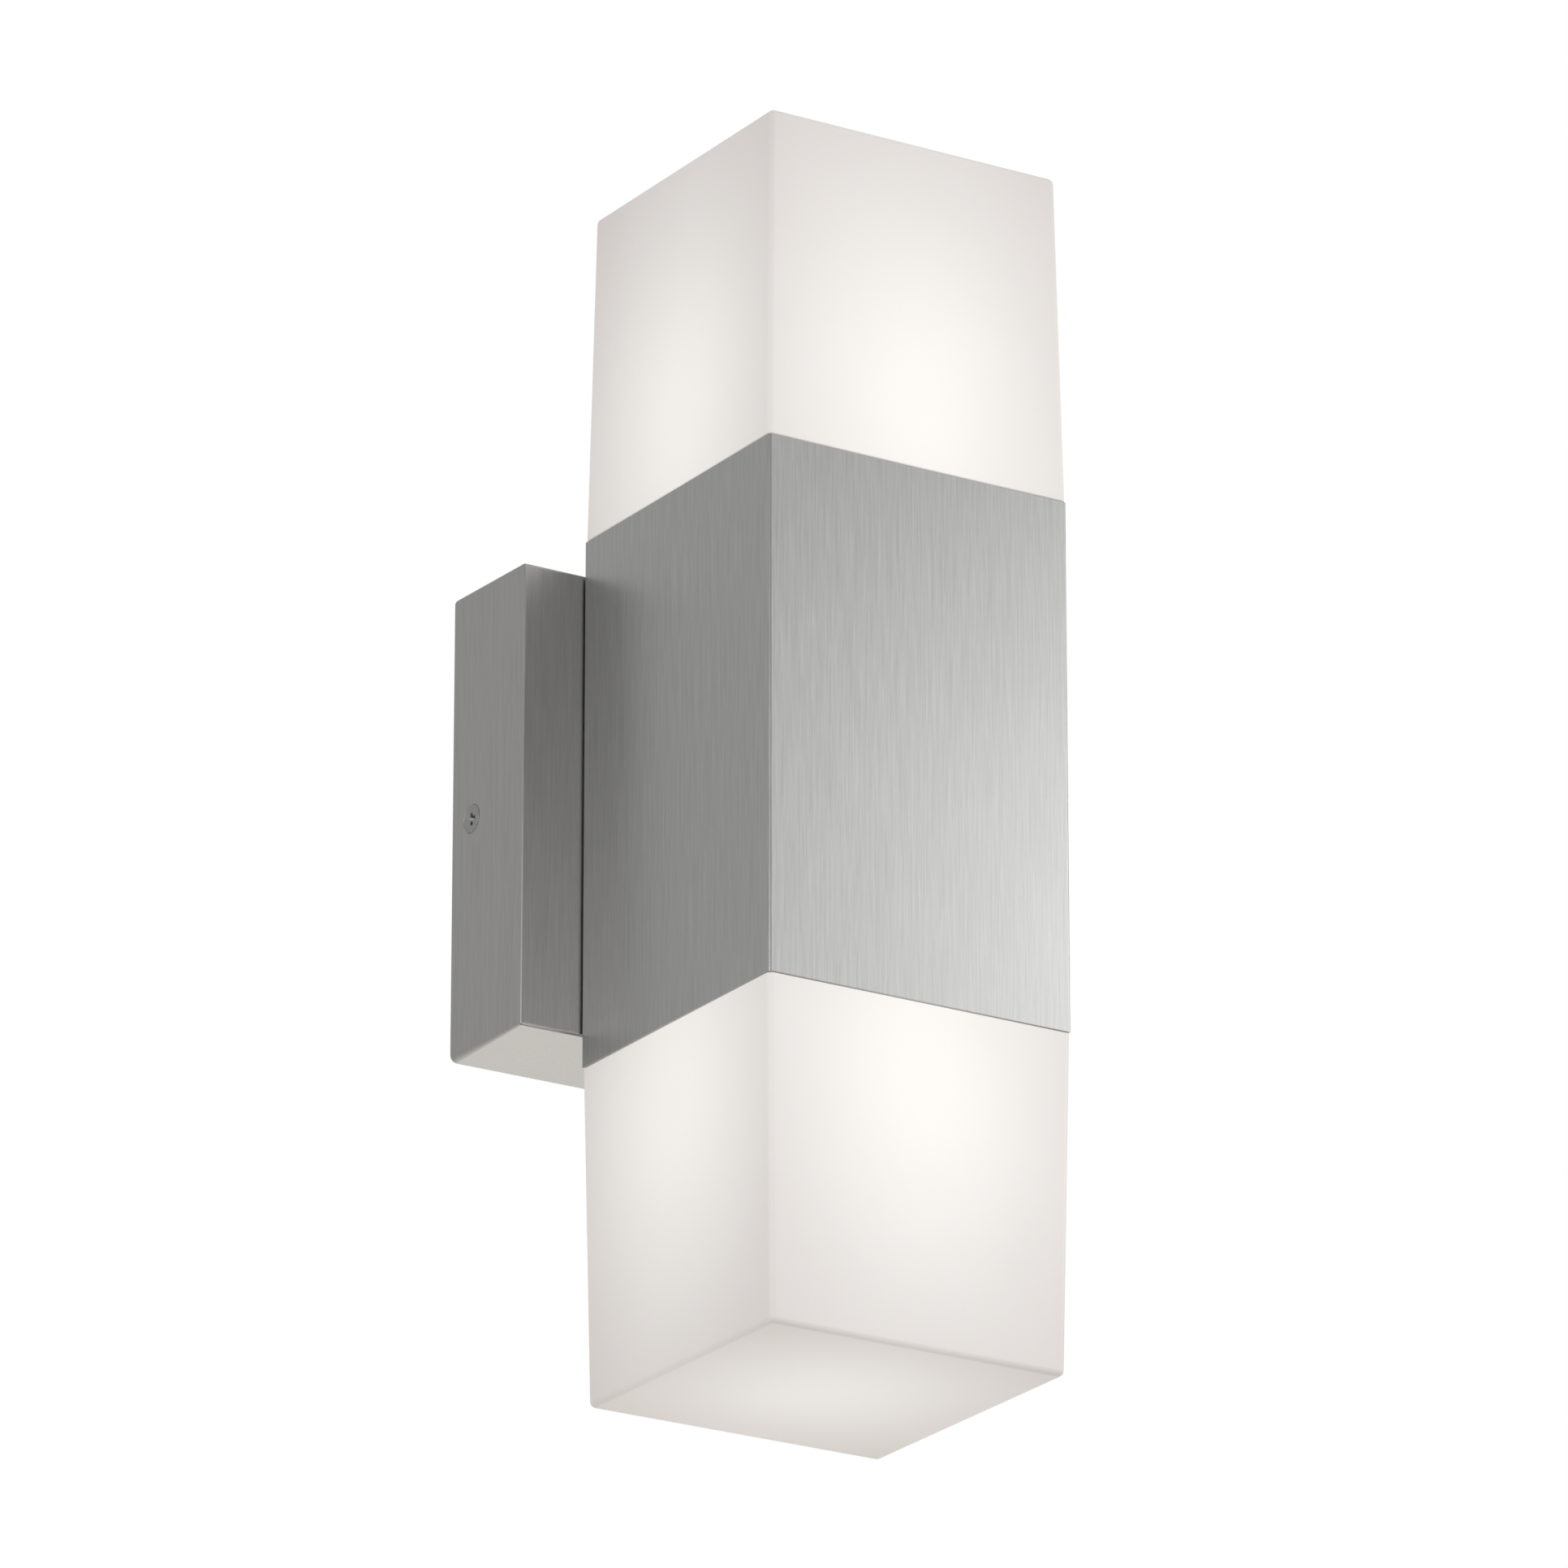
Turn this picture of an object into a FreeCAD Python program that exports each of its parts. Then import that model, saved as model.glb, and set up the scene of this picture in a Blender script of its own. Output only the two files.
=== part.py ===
import FreeCAD, Part
import math
import os
import re
import Sketcher
from FreeCAD import Placement, Rotation, Vector

# Outdoor wall lantern: a square aluminium tube with an opal glass shade screwed into each
# end, carried by a square canopy that covers the wiring and the wall bracket.
#
# Frame: the wall is the plane Y = 0 and the lantern stands out from it along -Y, +Z is up
# and +X is to the right of someone who faces the wall.  The origin is on the wall, behind
# the middle of the lantern.  Pieces that come once above and once below are drawn in the
# lamp frame: its origin is the middle of the tube and its Z runs outwards along the axis.

# Driving dimensions in millimetres, angles in degrees.
DIMENSIONS = (
    ("span", 412.7, "tip to tip of the two shades, 16 1/4 in"),
    ("tube_side", 114.3, "outside of the square tube, 4 1/2 in"),
    ("tube_height", 182.8, "length of the tube"),
    ("tube_wall", 2.2, "extruded wall"),
    ("tube_round", 1.0, "outside corners of the tube"),
    ("tube_bevel", 0.3, "broken edge at the sawn ends"),
    ("port_side", 9.0, "square screw port in each corner of the tube"),
    ("port_end", 86.25, "height at which the screw ports stop"),
    ("canopy_front", 160.0, "canopy, square front"),
    ("canopy_rear", 162.0, "canopy, open rear"),
    ("canopy_depth", 42.7, "canopy, front to wall"),
    ("canopy_wall", 2.5, "canopy, wall"),
    ("canopy_round_front", 1.0, "canopy corner radius at the front"),
    ("canopy_round_rear", 2.5, "canopy corner radius at the wall"),
    ("canopy_edge", 0.9, "rounded edge of the canopy's front"),
    ("joint_gap", 0.8, "gasket between canopy and tube"),
    ("joint_gasket_width", 108.0, "gasket between canopy and tube"),
    ("joint_gasket_height", 150.0, "gasket between canopy and tube"),
    ("wall_gasket_side", 154.0, "foam gasket on the wall"),
    ("wall_gasket_thick", 3.0, "foam gasket on the wall"),
    ("wall_gasket_bore", 104.0, "opening over a round junction box"),
    ("strap_thick", 2.0, "wall bracket steel"),
    ("strap_width", 25.0, "wall bracket height"),
    ("strap_half", 77.8, "wall bracket, middle to outside of an ear"),
    ("strap_ear", 22.0, "wall to the tip of an ear"),
    ("strap_bend", 2.5, "outside bend radius"),
    ("slot_spacing", 79.4, "junction box slots, between middles"),
    ("slot_width", 4.8, "junction box slots"),
    ("slot_length", 16.0, "junction box slots"),
    ("ground_x", 18.0, "earthing screw, from the middle"),
    ("ground_head", 8.0, "earthing screw head across points"),
    ("ground_slit", 1.1, "slit in the earthing screw"),
    ("ground_point", 1.0, "earthing screw behind the bracket"),
    ("side_screw_out", 11.7, "wall to the axis of the side screws"),
    ("side_head", 9.6, "side screw head"),
    ("side_shank", 4.8, "side screw shank, number 10"),
    ("side_length", 12.0, "side screw"),
    ("side_sink", 10.0, "countersink for the side screws"),
    ("side_cut", 1.0, "countersinking tool past the side face"),
    ("side_bore", 5.2, "clearance hole for the side screws"),
    ("side_tapped", 4.9, "tapped hole for the side screws"),
    ("nipple_dia", 10.0, "threaded nipple outside"),
    ("nipple_bore", 7.0, "threaded nipple bore"),
    ("nipple_hole", 10.5, "hole for the nipple"),
    ("nipple_rear", 33.5, "wall to the rear end of the nipple"),
    ("nipple_front", 54.5, "wall to the front end of the nipple"),
    ("nipple_nut_flats", 14.0, "nipple nut across flats"),
    ("nipple_nut_thick", 4.0, "nipple nut"),
    ("nipple_washer_dia", 18.0, "nipple washer"),
    ("nipple_washer_thick", 1.0, "nipple washer"),
    ("bolt_height", 55.0, "tube screws above and below the middle"),
    ("bolt_dia", 5.0, "tube screw shank, M5"),
    ("bolt_hole", 5.5, "hole for a tube screw"),
    ("bolt_length", 12.0, "tube screw"),
    ("bolt_head", 9.5, "tube screw head"),
    ("bolt_head_high", 3.2, "tube screw head"),
    ("bolt_nut_flats", 8.0, "tube screw nut across flats"),
    ("bolt_nut_thick", 4.0, "tube screw nut"),
    ("screw_dia", 4.0, "small screws, M4"),
    ("screw_hole", 4.1, "hole for a small screw"),
    ("screw_head", 7.6, "small screw head"),
    ("screw_head_high", 2.4, "small screw head"),
    ("screw_washer", 9.5, "flange of the earthing screw"),
    ("screw_washer_thick", 0.8, "flange of the earthing screw"),
    ("recess_span", 0.55, "cross recess, share of the head"),
    ("recess_slot", 0.13, "cross recess arm, share of the head"),
    ("recess_depth", 0.18, "cross recess depth, share of the head"),
    ("head_edge", 0.0167, "rim of a flat screw head, share of the head"),
    ("pan_flat", 0.3, "flat on a pan screw head, share of the head"),
    ("pan_curve", 0.22, "rounding of a pan screw head, share of the head"),
    ("bridge_thick", 1.6, "lamp bridge steel"),
    ("bridge_half", 22.0, "lamp bridge, half width"),
    ("bridge_reach", 23.0, "lamp bridge, past the lamp axis"),
    ("bridge_top", 24.0, "lamp bridge, middle to a socket seat"),
    ("bridge_bend", 3.0, "lamp bridge, outside bend"),
    ("bridge_screw_x", 15.0, "screws beside the middle"),
    ("wire_hole", 16.0, "wire hole under a socket"),
    ("holder_side", 109.3, "shade holder plate"),
    ("holder_thick", 3.0, "shade holder plate"),
    ("holder_collar", 97.0, "shade holder collar outside"),
    ("holder_bore", 88.6, "shade holder collar bore"),
    ("holder_collar_deep", 10.0, "collar below the plate"),
    ("sink_margin", 0.5, "countersink in the plate, wider than the screw head"),
    ("holder_screw", 10.0, "shade holder screw length"),
    ("shade_seat", 91.65, "middle to the foot of a shade"),
    ("shade_half", 57.15, "half the shade at its foot"),
    ("shade_draft", 1.97, "taper of each shade face over its length"),
    ("shade_wall", 4.0, "glass side wall"),
    ("shade_floor", 5.0, "glass shoulder above the neck"),
    ("shade_end", 5.0, "glass at the closed end"),
    ("shade_round", 2.0, "outside edges of the glass"),
    ("neck_core", 42.8, "radius of the neck below its thread"),
    ("neck_crest", 44.0, "radius over the glass thread"),
    ("neck_bore", 80.0, "bore of the neck"),
    ("neck_length", 12.0, "neck below the shoulder"),
    ("thread_pitch", 6.0, "glass thread"),
    ("thread_start", 1.0, "mouth of the neck to the thread"),
    ("thread_root", 0.4, "root of the thread inside the neck's skin"),
    ("thread_flank", 0.9, "height of a thread flank"),
    ("thread_land", 1.0, "height of the thread's crest"),
    ("gasket_bore", 89.0, "silicone ring under a shade"),
    ("gasket_dia", 104.0, "silicone ring under a shade"),
    ("gasket_thick", 2.3, "silicone ring under a shade"),
    ("gasket_lift", 0.05, "air between ring and shade holder"),
    ("socket_dia", 42.0, "porcelain socket at its base"),
    ("socket_mouth", 37.0, "porcelain socket at its mouth"),
    ("socket_high", 48.0, "porcelain socket"),
    ("socket_bore", 28.5, "porcelain socket bore"),
    ("socket_bore_deep", 33.0, "porcelain socket bore"),
    ("socket_wide", 16.0, "wide foot of the socket"),
    ("socket_slope", 4.0, "slope above the wide foot"),
    ("socket_round", 1.2, "rounded mouth of the socket"),
    ("socket_screw", 9.0, "socket screw length, and depth of its hole"),
    ("lead_hole", 3.0, "lead holes in the socket base"),
    ("lead_spread", 5.0, "lead holes beside the lamp axis"),
    ("lead_start", 34.0, "inner end of a lead, from the middle"),
    ("lead_room", 1.0, "lead hole past the end of its lead"),
    ("shell_dia", 27.6, "screw shell outside"),
    ("shell_bore", 26.9, "screw shell bore"),
    ("shell_start", 41.0, "screw shell, inner end"),
    ("shell_end", 70.0, "screw shell, outer end"),
    ("contact_dia", 12.0, "centre contact disc"),
    ("contact_thick", 0.8, "centre contact disc"),
    ("contact_top", 46.7, "top of the centre contact"),
    ("contact_tip", 5.0, "centre contact button"),
    ("contact_rise", 2.0, "centre contact, disc to button"),
    ("contact_round", 0.6, "bevel of the button"),
    ("lamp_tip_at", 47.0, "inner end of the lamp"),
    ("lamp_top", 155.0, "outer end of the lamp"),
    ("lamp_radius", 30.0, "A19 globe"),
    ("lamp_glass", 1.0, "globe wall"),
    ("lamp_rim", 74.0, "where cap and globe meet"),
    ("globe_lip", 3.0, "globe neck inside the cap"),
    ("globe_neck", 6.0, "globe neck outside the cap"),
    ("globe_fit", 0.3, "cement between globe and cap"),
    ("cap_radius", 13.2, "E26 thread crest"),
    ("cap_root", 12.5, "E26 thread root"),
    ("cap_pitch", 3.63, "E26 thread, 7 per inch"),
    ("cap_start", 52.0, "inner end of the cap thread"),
    ("cap_wall", 0.5, "cap brass"),
    ("cap_turn_in", 3.0, "cap rim turned in at its inner end"),
    ("cap_turn_up", 1.5, "height of the turned rim"),
    ("glass_bore", 2.6, "bore radius of the lamp's insulator"),
    ("glass_foot", 5.0, "foot radius of the lamp's insulator"),
    ("glass_lift", 1.0, "solder tip to the insulator"),
    ("glass_fit", 0.1, "insulator inside the cap"),
    ("glass_top", 0.5, "insulator below the first thread"),
    ("solder_foot", 2.4, "radius of the solder tip's flat"),
    ("solder_brim", 4.2, "radius of the solder tip's brim"),
    ("solder_high", 0.9, "height of the solder tip's brim"),
    ("solder_stem", 2.5, "radius of the solder in the insulator"),
    ("wire_dia", 1.8, "insulated lead"),
    ("lead_fan", 4.0, "leads part this much past the nipple"),
    ("lead_drop", 16.0, "lamp axis to the leads' bend behind the socket"),
    ("lead_enter", 6.0, "leads run straight before the nipple"),
    ("lead_side", 20.0, "middle to the leads' last bend"),
    ("earth_high", 35.0, "earth lead's upper bend, below the middle"),
    ("earth_low", 24.0, "earth lead's lower bend, below the middle"),
    ("lead_gap", 1.2, "leads beside the nipple axis"),
    ("lead_turn", 20.0, "wall to the leads inside the canopy"),
    ("lead_end", 40.0, "middle to the end of a lead"),
    ("connector_dia", 13.0, "wire connector, open end"),
    ("connector_small", 8.0, "wire connector, closed end"),
    ("connector_bore", 7.0, "wire connector bore"),
    ("connector_long", 24.0, "wire connector"),
    ("connector_deep", 15.0, "wire connector bore"),
    ("connector_at", 30.0, "middle to the open end of a connector"),
    ("lug_ring", 10.0, "ring terminal"),
    ("lug_bore", 5.3, "ring terminal bore"),
    ("lug_thick", 0.8, "ring terminal"),
    ("lug_barrel", 3.6, "ring terminal barrel"),
    ("lug_barrel_bore", 2.0, "ring terminal barrel bore"),
    ("lug_barrel_long", 6.0, "ring terminal barrel"),
    ("lug_step", 0.3, "ring to barrel of a ring terminal"),
)

# Sizes that follow from the driving ones.
DERIVED = (
    ("axis_out", "canopy_depth + joint_gap + tube_side / 2", "wall to the lamp axis"),
    ("tube_inside", "tube_side / 2 - tube_wall", "lamp axis to the inside of the tube"),
    ("tube_rear", "canopy_depth + joint_gap", "wall to the rear of the tube"),
    ("port_axis", "tube_side / 2 - tube_wall - port_side / 2", "lamp axis to a screw port, along X and Y"),
    ("strap_front", "wall_gasket_thick + strap_thick", "wall to the front of the bracket"),
    ("holder_top", "port_end + holder_thick", "outer face of a shade holder"),
    ("side_face", "canopy_rear / 2 - (canopy_rear - canopy_front) / 2 * side_screw_out / canopy_depth",
     "middle to the heads of the side screws"),
    ("socket_top", "bridge_top + socket_high", "mouth of a socket"),
    ("socket_floor", "bridge_top + socket_high - socket_bore_deep", "floor of a socket's bore"),
    ("canopy_inside", "canopy_depth - canopy_wall", "wall to the inside of the canopy's front"),
)

# Turns of the lamp cap's thread.
CAP_TURNS = 5

# Handles for the two sides: name, and the turn of the lamp frame about X.
SIDES = (("upper", 0.0), ("lower", 180.0))

doc = FreeCAD.newDocument("wall_lantern")
sheet = doc.addObject("Spreadsheet::Sheet", "dims")
for row, (alias, amount, note) in enumerate(DIMENSIONS, start=1):
    sheet.set(f"A{row}", alias)
    sheet.set(f"B{row}", str(amount))
    sheet.set(f"C{row}", note)
    sheet.setAlias(f"B{row}", alias)
KNOWN = {row[0] for row in DIMENSIONS + DERIVED}


def spelled(formula):
    """Write a formula of sheet names the way FreeCAD's expressions want it."""
    return re.sub(r"[a-z_]+", lambda word: ("dims." if word[0] in KNOWN else "") + word[0], formula)


for row, (alias, formula, note) in enumerate(DERIVED, start=len(DIMENSIONS) + 1):
    sheet.set(f"A{row}", alias)
    sheet.set(f"B{row}", "=" + formula)
    sheet.set(f"C{row}", note)
    sheet.setAlias(f"B{row}", alias)
doc.recompute()

# Slack for telling by its place whether an edge lies on a face.
NEAR = 0.01

nodes = {}


def size(formula):
    """The value of a formula of sheet names."""
    return float(sheet.evalExpression(spelled(formula)))


def bind(thing, prop, formula):
    """Tie a property to the sheet."""
    thing.setExpression(prop, spelled(formula))


def keep(name, thing):
    """Name a finished sub-part."""
    thing.Label = name
    nodes[name] = thing
    return thing


def body_in(name, lamp_turn=None):
    """A body in the main frame, or in the lamp frame turned by lamp_turn."""
    body = doc.addObject("PartDesign::Body", name)
    if lamp_turn is not None:
        body.Placement = Placement(Vector(0, 0, 0), Rotation(Vector(1, 0, 0), lamp_turn))
        bind(body, "Placement.Base.y", "-axis_out")
    return body


def sketch_on(body, role, lift="0"):
    """A sketch on an origin plane of the body, lifted along the plane's normal."""
    sketch = body.newObject("Sketcher::SketchObject", "outline")
    plane = [item for item in body.Origin.OriginFeatures if item.Role == role][0]
    sketch.AttachmentSupport = [(plane, "")]
    sketch.MapMode = "FlatFace"
    bind(sketch, "AttachmentOffset.Base.z", lift)
    return sketch


def fix_point(sketch, line, end, x, y):
    """Tie an end of a sketch line to two formulas."""
    for kind, formula in (("DistanceX", x), ("DistanceY", y)):
        rule = sketch.addConstraint(Sketcher.Constraint(kind, -1, 1, line, end, size(formula)))
        bind(sketch, f"Constraints[{rule}]", formula)


def outline(sketch, corners, arcs=None):
    """Closed outline through corner formulas; arcs maps a side to (radius, bulge)."""
    arcs = arcs or {}
    first = sketch.GeometryCount
    places = [Vector(size(x), size(y), 0) for x, y in corners]
    count = len(corners)
    for side in range(count):
        start = places[side]
        end = places[(side + 1) % count]
        if side in arcs:
            radius = size(arcs[side][0])
            half = (end - start).Length / 2
            across = Vector(end.y - start.y, start.x - end.x, 0).normalize() * arcs[side][1]
            rise = radius - math.sqrt(max(radius ** 2 - half ** 2, 0))
            middle = (start + end) / 2 + across * rise
            sketch.addGeometry(Part.Arc(start, middle, end))
        else:
            sketch.addGeometry(Part.LineSegment(start, end))
    for side in range(count):
        follower = first + (side + 1) % count
        turned = arcs.get(side, ("", 1))[1] < 0
        turned_next = arcs.get((side + 1) % count, ("", 1))[1] < 0
        end = 1 if turned else 2
        start = 2 if turned_next else 1
        sketch.addConstraint(Sketcher.Constraint("Coincident", first + side, end, follower, start))
        start = 2 if turned else 1
        fix_point(sketch, first + side, start, corners[side][0], corners[side][1])
        if side in arcs:
            radius = size(arcs[side][0])
            rule = sketch.addConstraint(Sketcher.Constraint("Radius", first + side, radius))
            bind(sketch, f"Constraints[{rule}]", arcs[side][0])


def rectangle(sketch, x, y, wide, high):
    """Rectangle round a middle point."""
    left = f"{x} - ({wide}) / 2"
    right = f"{x} + ({wide}) / 2"
    low = f"{y} - ({high}) / 2"
    top = f"{y} + ({high}) / 2"
    outline(sketch, ((left, low), (right, low), (right, top), (left, top)))


def rounded_square(sketch, side, radius):
    """Square round the sketch origin with rounded corners."""
    half = f"({side}) / 2"
    short = f"({side}) / 2 - ({radius})"
    corners = (
        (f"-({short})", f"-({half})"), (short, f"-({half})"),
        (half, f"-({short})"), (half, short),
        (short, half), (f"-({short})", half),
        (f"-({half})", short), (f"-({half})", f"-({short})"),
    )
    outline(sketch, corners, {corner: (radius, 1) for corner in (1, 3, 5, 7)})


def circle(sketch, x, y, diameter):
    """Circle at a place given by formulas."""
    middle = Vector(size(x), size(y), 0)
    ring = sketch.addGeometry(Part.Circle(middle, Vector(0, 0, 1), size(diameter) / 2))
    fix_point(sketch, ring, 3, x, y)
    rule = sketch.addConstraint(Sketcher.Constraint("Diameter", ring, size(diameter)))
    bind(sketch, f"Constraints[{rule}]", diameter)


def hexagon(sketch, point):
    """Hexagon round the sketch origin, given the distance to its points."""
    turns = [60 * corner for corner in range(6)]
    outline(sketch, [(f"{point} * cos({turn} deg)", f"{point} * sin({turn} deg)") for turn in turns])


def slot(sketch, x, wide, high):
    """Slot along the sketch's x with half-round ends."""
    radius = size(high) / 2
    ends = []
    for sign, start in (("+", -math.pi / 2), ("-", math.pi / 2)):
        place = f"{x} {sign} ({wide} - {high}) / 2"
        ring = Part.Circle(Vector(size(place), 0, 0), Vector(0, 0, 1), radius)
        arc = sketch.addGeometry(Part.ArcOfCircle(ring, start, start + math.pi))
        fix_point(sketch, arc, 3, place, "0")
        rule = sketch.addConstraint(Sketcher.Constraint("Radius", arc, radius))
        bind(sketch, f"Constraints[{rule}]", f"{high} / 2")
        ends.append((arc, size(place)))
    (right, far), (left, near) = ends
    top = sketch.addGeometry(Part.LineSegment(Vector(far, radius, 0), Vector(near, radius, 0)))
    low = sketch.addGeometry(Part.LineSegment(Vector(near, -radius, 0), Vector(far, -radius, 0)))
    for first, second in ((right, top), (top, left), (left, low), (low, right)):
        sketch.addConstraint(Sketcher.Constraint("Tangent", first, 2, second, 1))


def pad(body, sketch, length, both_ways=False, backwards=False):
    """Pad a sketch along its normal."""
    feature = body.newObject("PartDesign::Pad", "pad")
    feature.Profile = sketch
    bind(feature, "Length", length)
    feature.Midplane = both_ways
    feature.Reversed = backwards
    return feature


def pocket(body, sketch, depth, both_ways=False, backwards=False):
    """Cut a sketch against its normal, and make sure that it cuts."""
    doc.recompute()
    before = body.Shape.Volume
    feature = body.newObject("PartDesign::Pocket", "pocket")
    feature.Profile = sketch
    bind(feature, "Length", depth)
    feature.Midplane = both_ways
    feature.Reversed = backwards
    doc.recompute()
    if feature.Shape.Volume >= before:
        raise RuntimeError(f"{body.Name}: a pocket cuts nothing")
    return feature


def revolve(body, sketch):
    """Turn a sketch on the XZ plane about the body's Z."""
    feature = body.newObject("PartDesign::Revolution", "turned")
    feature.Profile = sketch
    feature.ReferenceAxis = (sketch, ["V_Axis"])
    feature.Angle = 360
    return feature


def loft(body, kind, start, end):
    """Ruled loft between two sketches: kind is AdditiveLoft or SubtractiveLoft."""
    feature = body.newObject("PartDesign::" + kind, "loft")
    feature.Profile = start
    feature.Sections = [end]
    feature.Ruled = True
    return feature


def frustum(body, kind, start, end, start_half, end_half):
    """Square frustum along the body's Z: kind is AdditiveWedge or SubtractiveWedge."""
    feature = body.newObject("PartDesign::" + kind, "frustum")
    plane = [item for item in body.Origin.OriginFeatures if item.Role == "XZ_Plane"][0]
    feature.AttachmentSupport = [(plane, "")]
    feature.MapMode = "FlatFace"
    for prop, formula in (("Ymin", start), ("Ymax", end), ("Xmax", start_half), ("Zmax", start_half),
                          ("X2max", end_half), ("Z2max", end_half)):
        bind(feature, prop, formula)
    for prop, formula in (("Xmin", start_half), ("Zmin", start_half),
                          ("X2min", end_half), ("Z2min", end_half)):
        bind(feature, prop, f"-({formula})")
    return feature


def repeat(body, feature, count):
    """Copy a feature round the body's Z."""
    pattern = body.newObject("PartDesign::PolarPattern", "pattern")
    pattern.Originals = [feature]
    axis = [item for item in body.Origin.OriginFeatures if item.Role == "Z_Axis"][0]
    pattern.Axis = (axis, [""])
    pattern.Angle = 360
    pattern.Occurrences = count
    body.Tip = pattern
    return pattern


def soften(body, kind, amount, wanted):
    """Fillet or chamfer the edges of the tip whose middle point passes the test."""
    doc.recompute()
    base = body.Tip
    names = []
    for number, edge in enumerate(base.Shape.Edges, start=1):
        if wanted(edge, edge.CenterOfMass):
            names.append(f"Edge{number}")
    if not names:
        raise RuntimeError(f"{body.Name}: no edge to soften")
    feature = body.newObject("PartDesign::" + kind, kind.lower())
    feature.Base = (base, names)
    bind(feature, "Radius" if kind == "Fillet" else "Size", amount)
    return feature


def along(edge, axis):
    """Whether a straight edge runs mostly along X, Y or Z, given as 0, 1 or 2."""
    ends = [vertex.Point for vertex in edge.Vertexes]
    if len(ends) < 2 or not isinstance(edge.Curve, Part.Line):
        return False
    step = ends[1] - ends[0]
    return abs(step[axis]) > 0.9 * step.Length


def group(name, model, places):
    """Separate copies of one model: places are (x, y, z formulas, Rotation)."""
    links = []
    for x, y, z, turn in places:
        link = doc.addObject("App::Link", "copy")
        link.LinkedObject = model
        link.Placement = Placement(Vector(0, 0, 0), turn)
        bind(link, "Placement.Base.x", x)
        bind(link, "Placement.Base.y", y)
        bind(link, "Placement.Base.z", z)
        links.append(link)
    compound = doc.addObject("Part::Compound", name)
    compound.Links = links
    return keep(name, compound)


# Turns that point a model's Z along a direction of the main frame.
FORWARD = Rotation(Vector(1, 0, 0), 90)
REARWARD = Rotation(Vector(1, 0, 0), -90)
LEFTWARD = Rotation(Vector(0, 1, 0), -90)
RIGHTWARD = Rotation(Vector(0, 1, 0), 90)
UPWARD = Rotation(Vector(1, 0, 0), 0)
DOWNWARD = Rotation(Vector(1, 0, 0), 180)


def cross_recess(body, head, top):
    """Cross recess with straight arms in the top of a screw head."""
    sketch = sketch_on(body, "XY_Plane", top)
    arm = f"{head} * recess_span / 2"
    thick = f"{head} * recess_slot / 2"
    cross = ((thick, thick), (thick, arm), (f"-{thick}", arm), (f"-{thick}", thick),
             (f"-({arm})", thick), (f"-({arm})", f"-{thick}"),
             (f"-{thick}", f"-{thick}"), (f"-{thick}", f"-({arm})"),
             (thick, f"-({arm})"), (thick, f"-{thick}"), (arm, f"-{thick}"), (arm, thick))
    outline(sketch, cross)
    pocket(body, sketch, f"{head} * recess_depth")


def flat_screw(name, head, shank, length):
    """Countersunk screw: flat of the head at Z = 0, shank down -Z."""
    body = body_in(name)
    sketch = sketch_on(body, "XZ_Plane")
    edge = f"{head} * head_edge"
    outline(sketch, (("0", "0"), (f"{head} / 2", "0"), (f"{head} / 2", f"-{edge}"),
                     (f"{shank} / 2", f"-({edge}) - ({head} - {shank}) / 2"),
                     (f"{shank} / 2", f"-{length} + {shank} / 4"),
                     (f"{shank} / 4", f"-{length}"), ("0", f"-{length}")))
    revolve(body, sketch)
    cross_recess(body, head, "0")
    return body


def pan_screw(name, head, head_high, shank, length):
    """Pan head screw: seat of the head at Z = 0, shank down -Z."""
    body = body_in(name)
    sketch = sketch_on(body, "XZ_Plane")
    outline(sketch, (("0", head_high), (f"{head} * pan_flat", head_high),
                     (f"{head} / 2", f"{head_high} / 2"), (f"{head} / 2", "0"), (f"{shank} / 2", "0"),
                     (f"{shank} / 2", f"-{length} + {shank} / 4"),
                     (f"{shank} / 4", f"-{length}"), ("0", f"-{length}")),
            {1: (f"{head} * pan_curve", -1)})
    revolve(body, sketch)
    cross_recess(body, head, head_high)
    return body


def hex_nut(name, flats, thick, bore):
    """Hexagon nut with its seat at Z = 0."""
    body = body_in(name)
    sketch = sketch_on(body, "XY_Plane")
    hexagon(sketch, f"{flats} / sqrt(3)")
    circle(sketch, "0", "0", bore)
    pad(body, sketch, thick)
    return body


def ring(name, outside, bore, thick):
    """Flat ring or tube made from two cylinders, seat at Z = 0."""
    outer = doc.addObject("Part::Cylinder", name + "_outside")
    inner = doc.addObject("Part::Cylinder", name + "_bore")
    bind(outer, "Radius", f"{outside} / 2")
    bind(inner, "Radius", f"{bore} / 2")
    bind(outer, "Height", thick)
    bind(inner, "Height", thick)
    cut = doc.addObject("Part::Cut", name)
    cut.Base = outer
    cut.Tool = inner
    return cut


# ---- tube and canopy ---------------------------------------------------------------------

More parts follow.
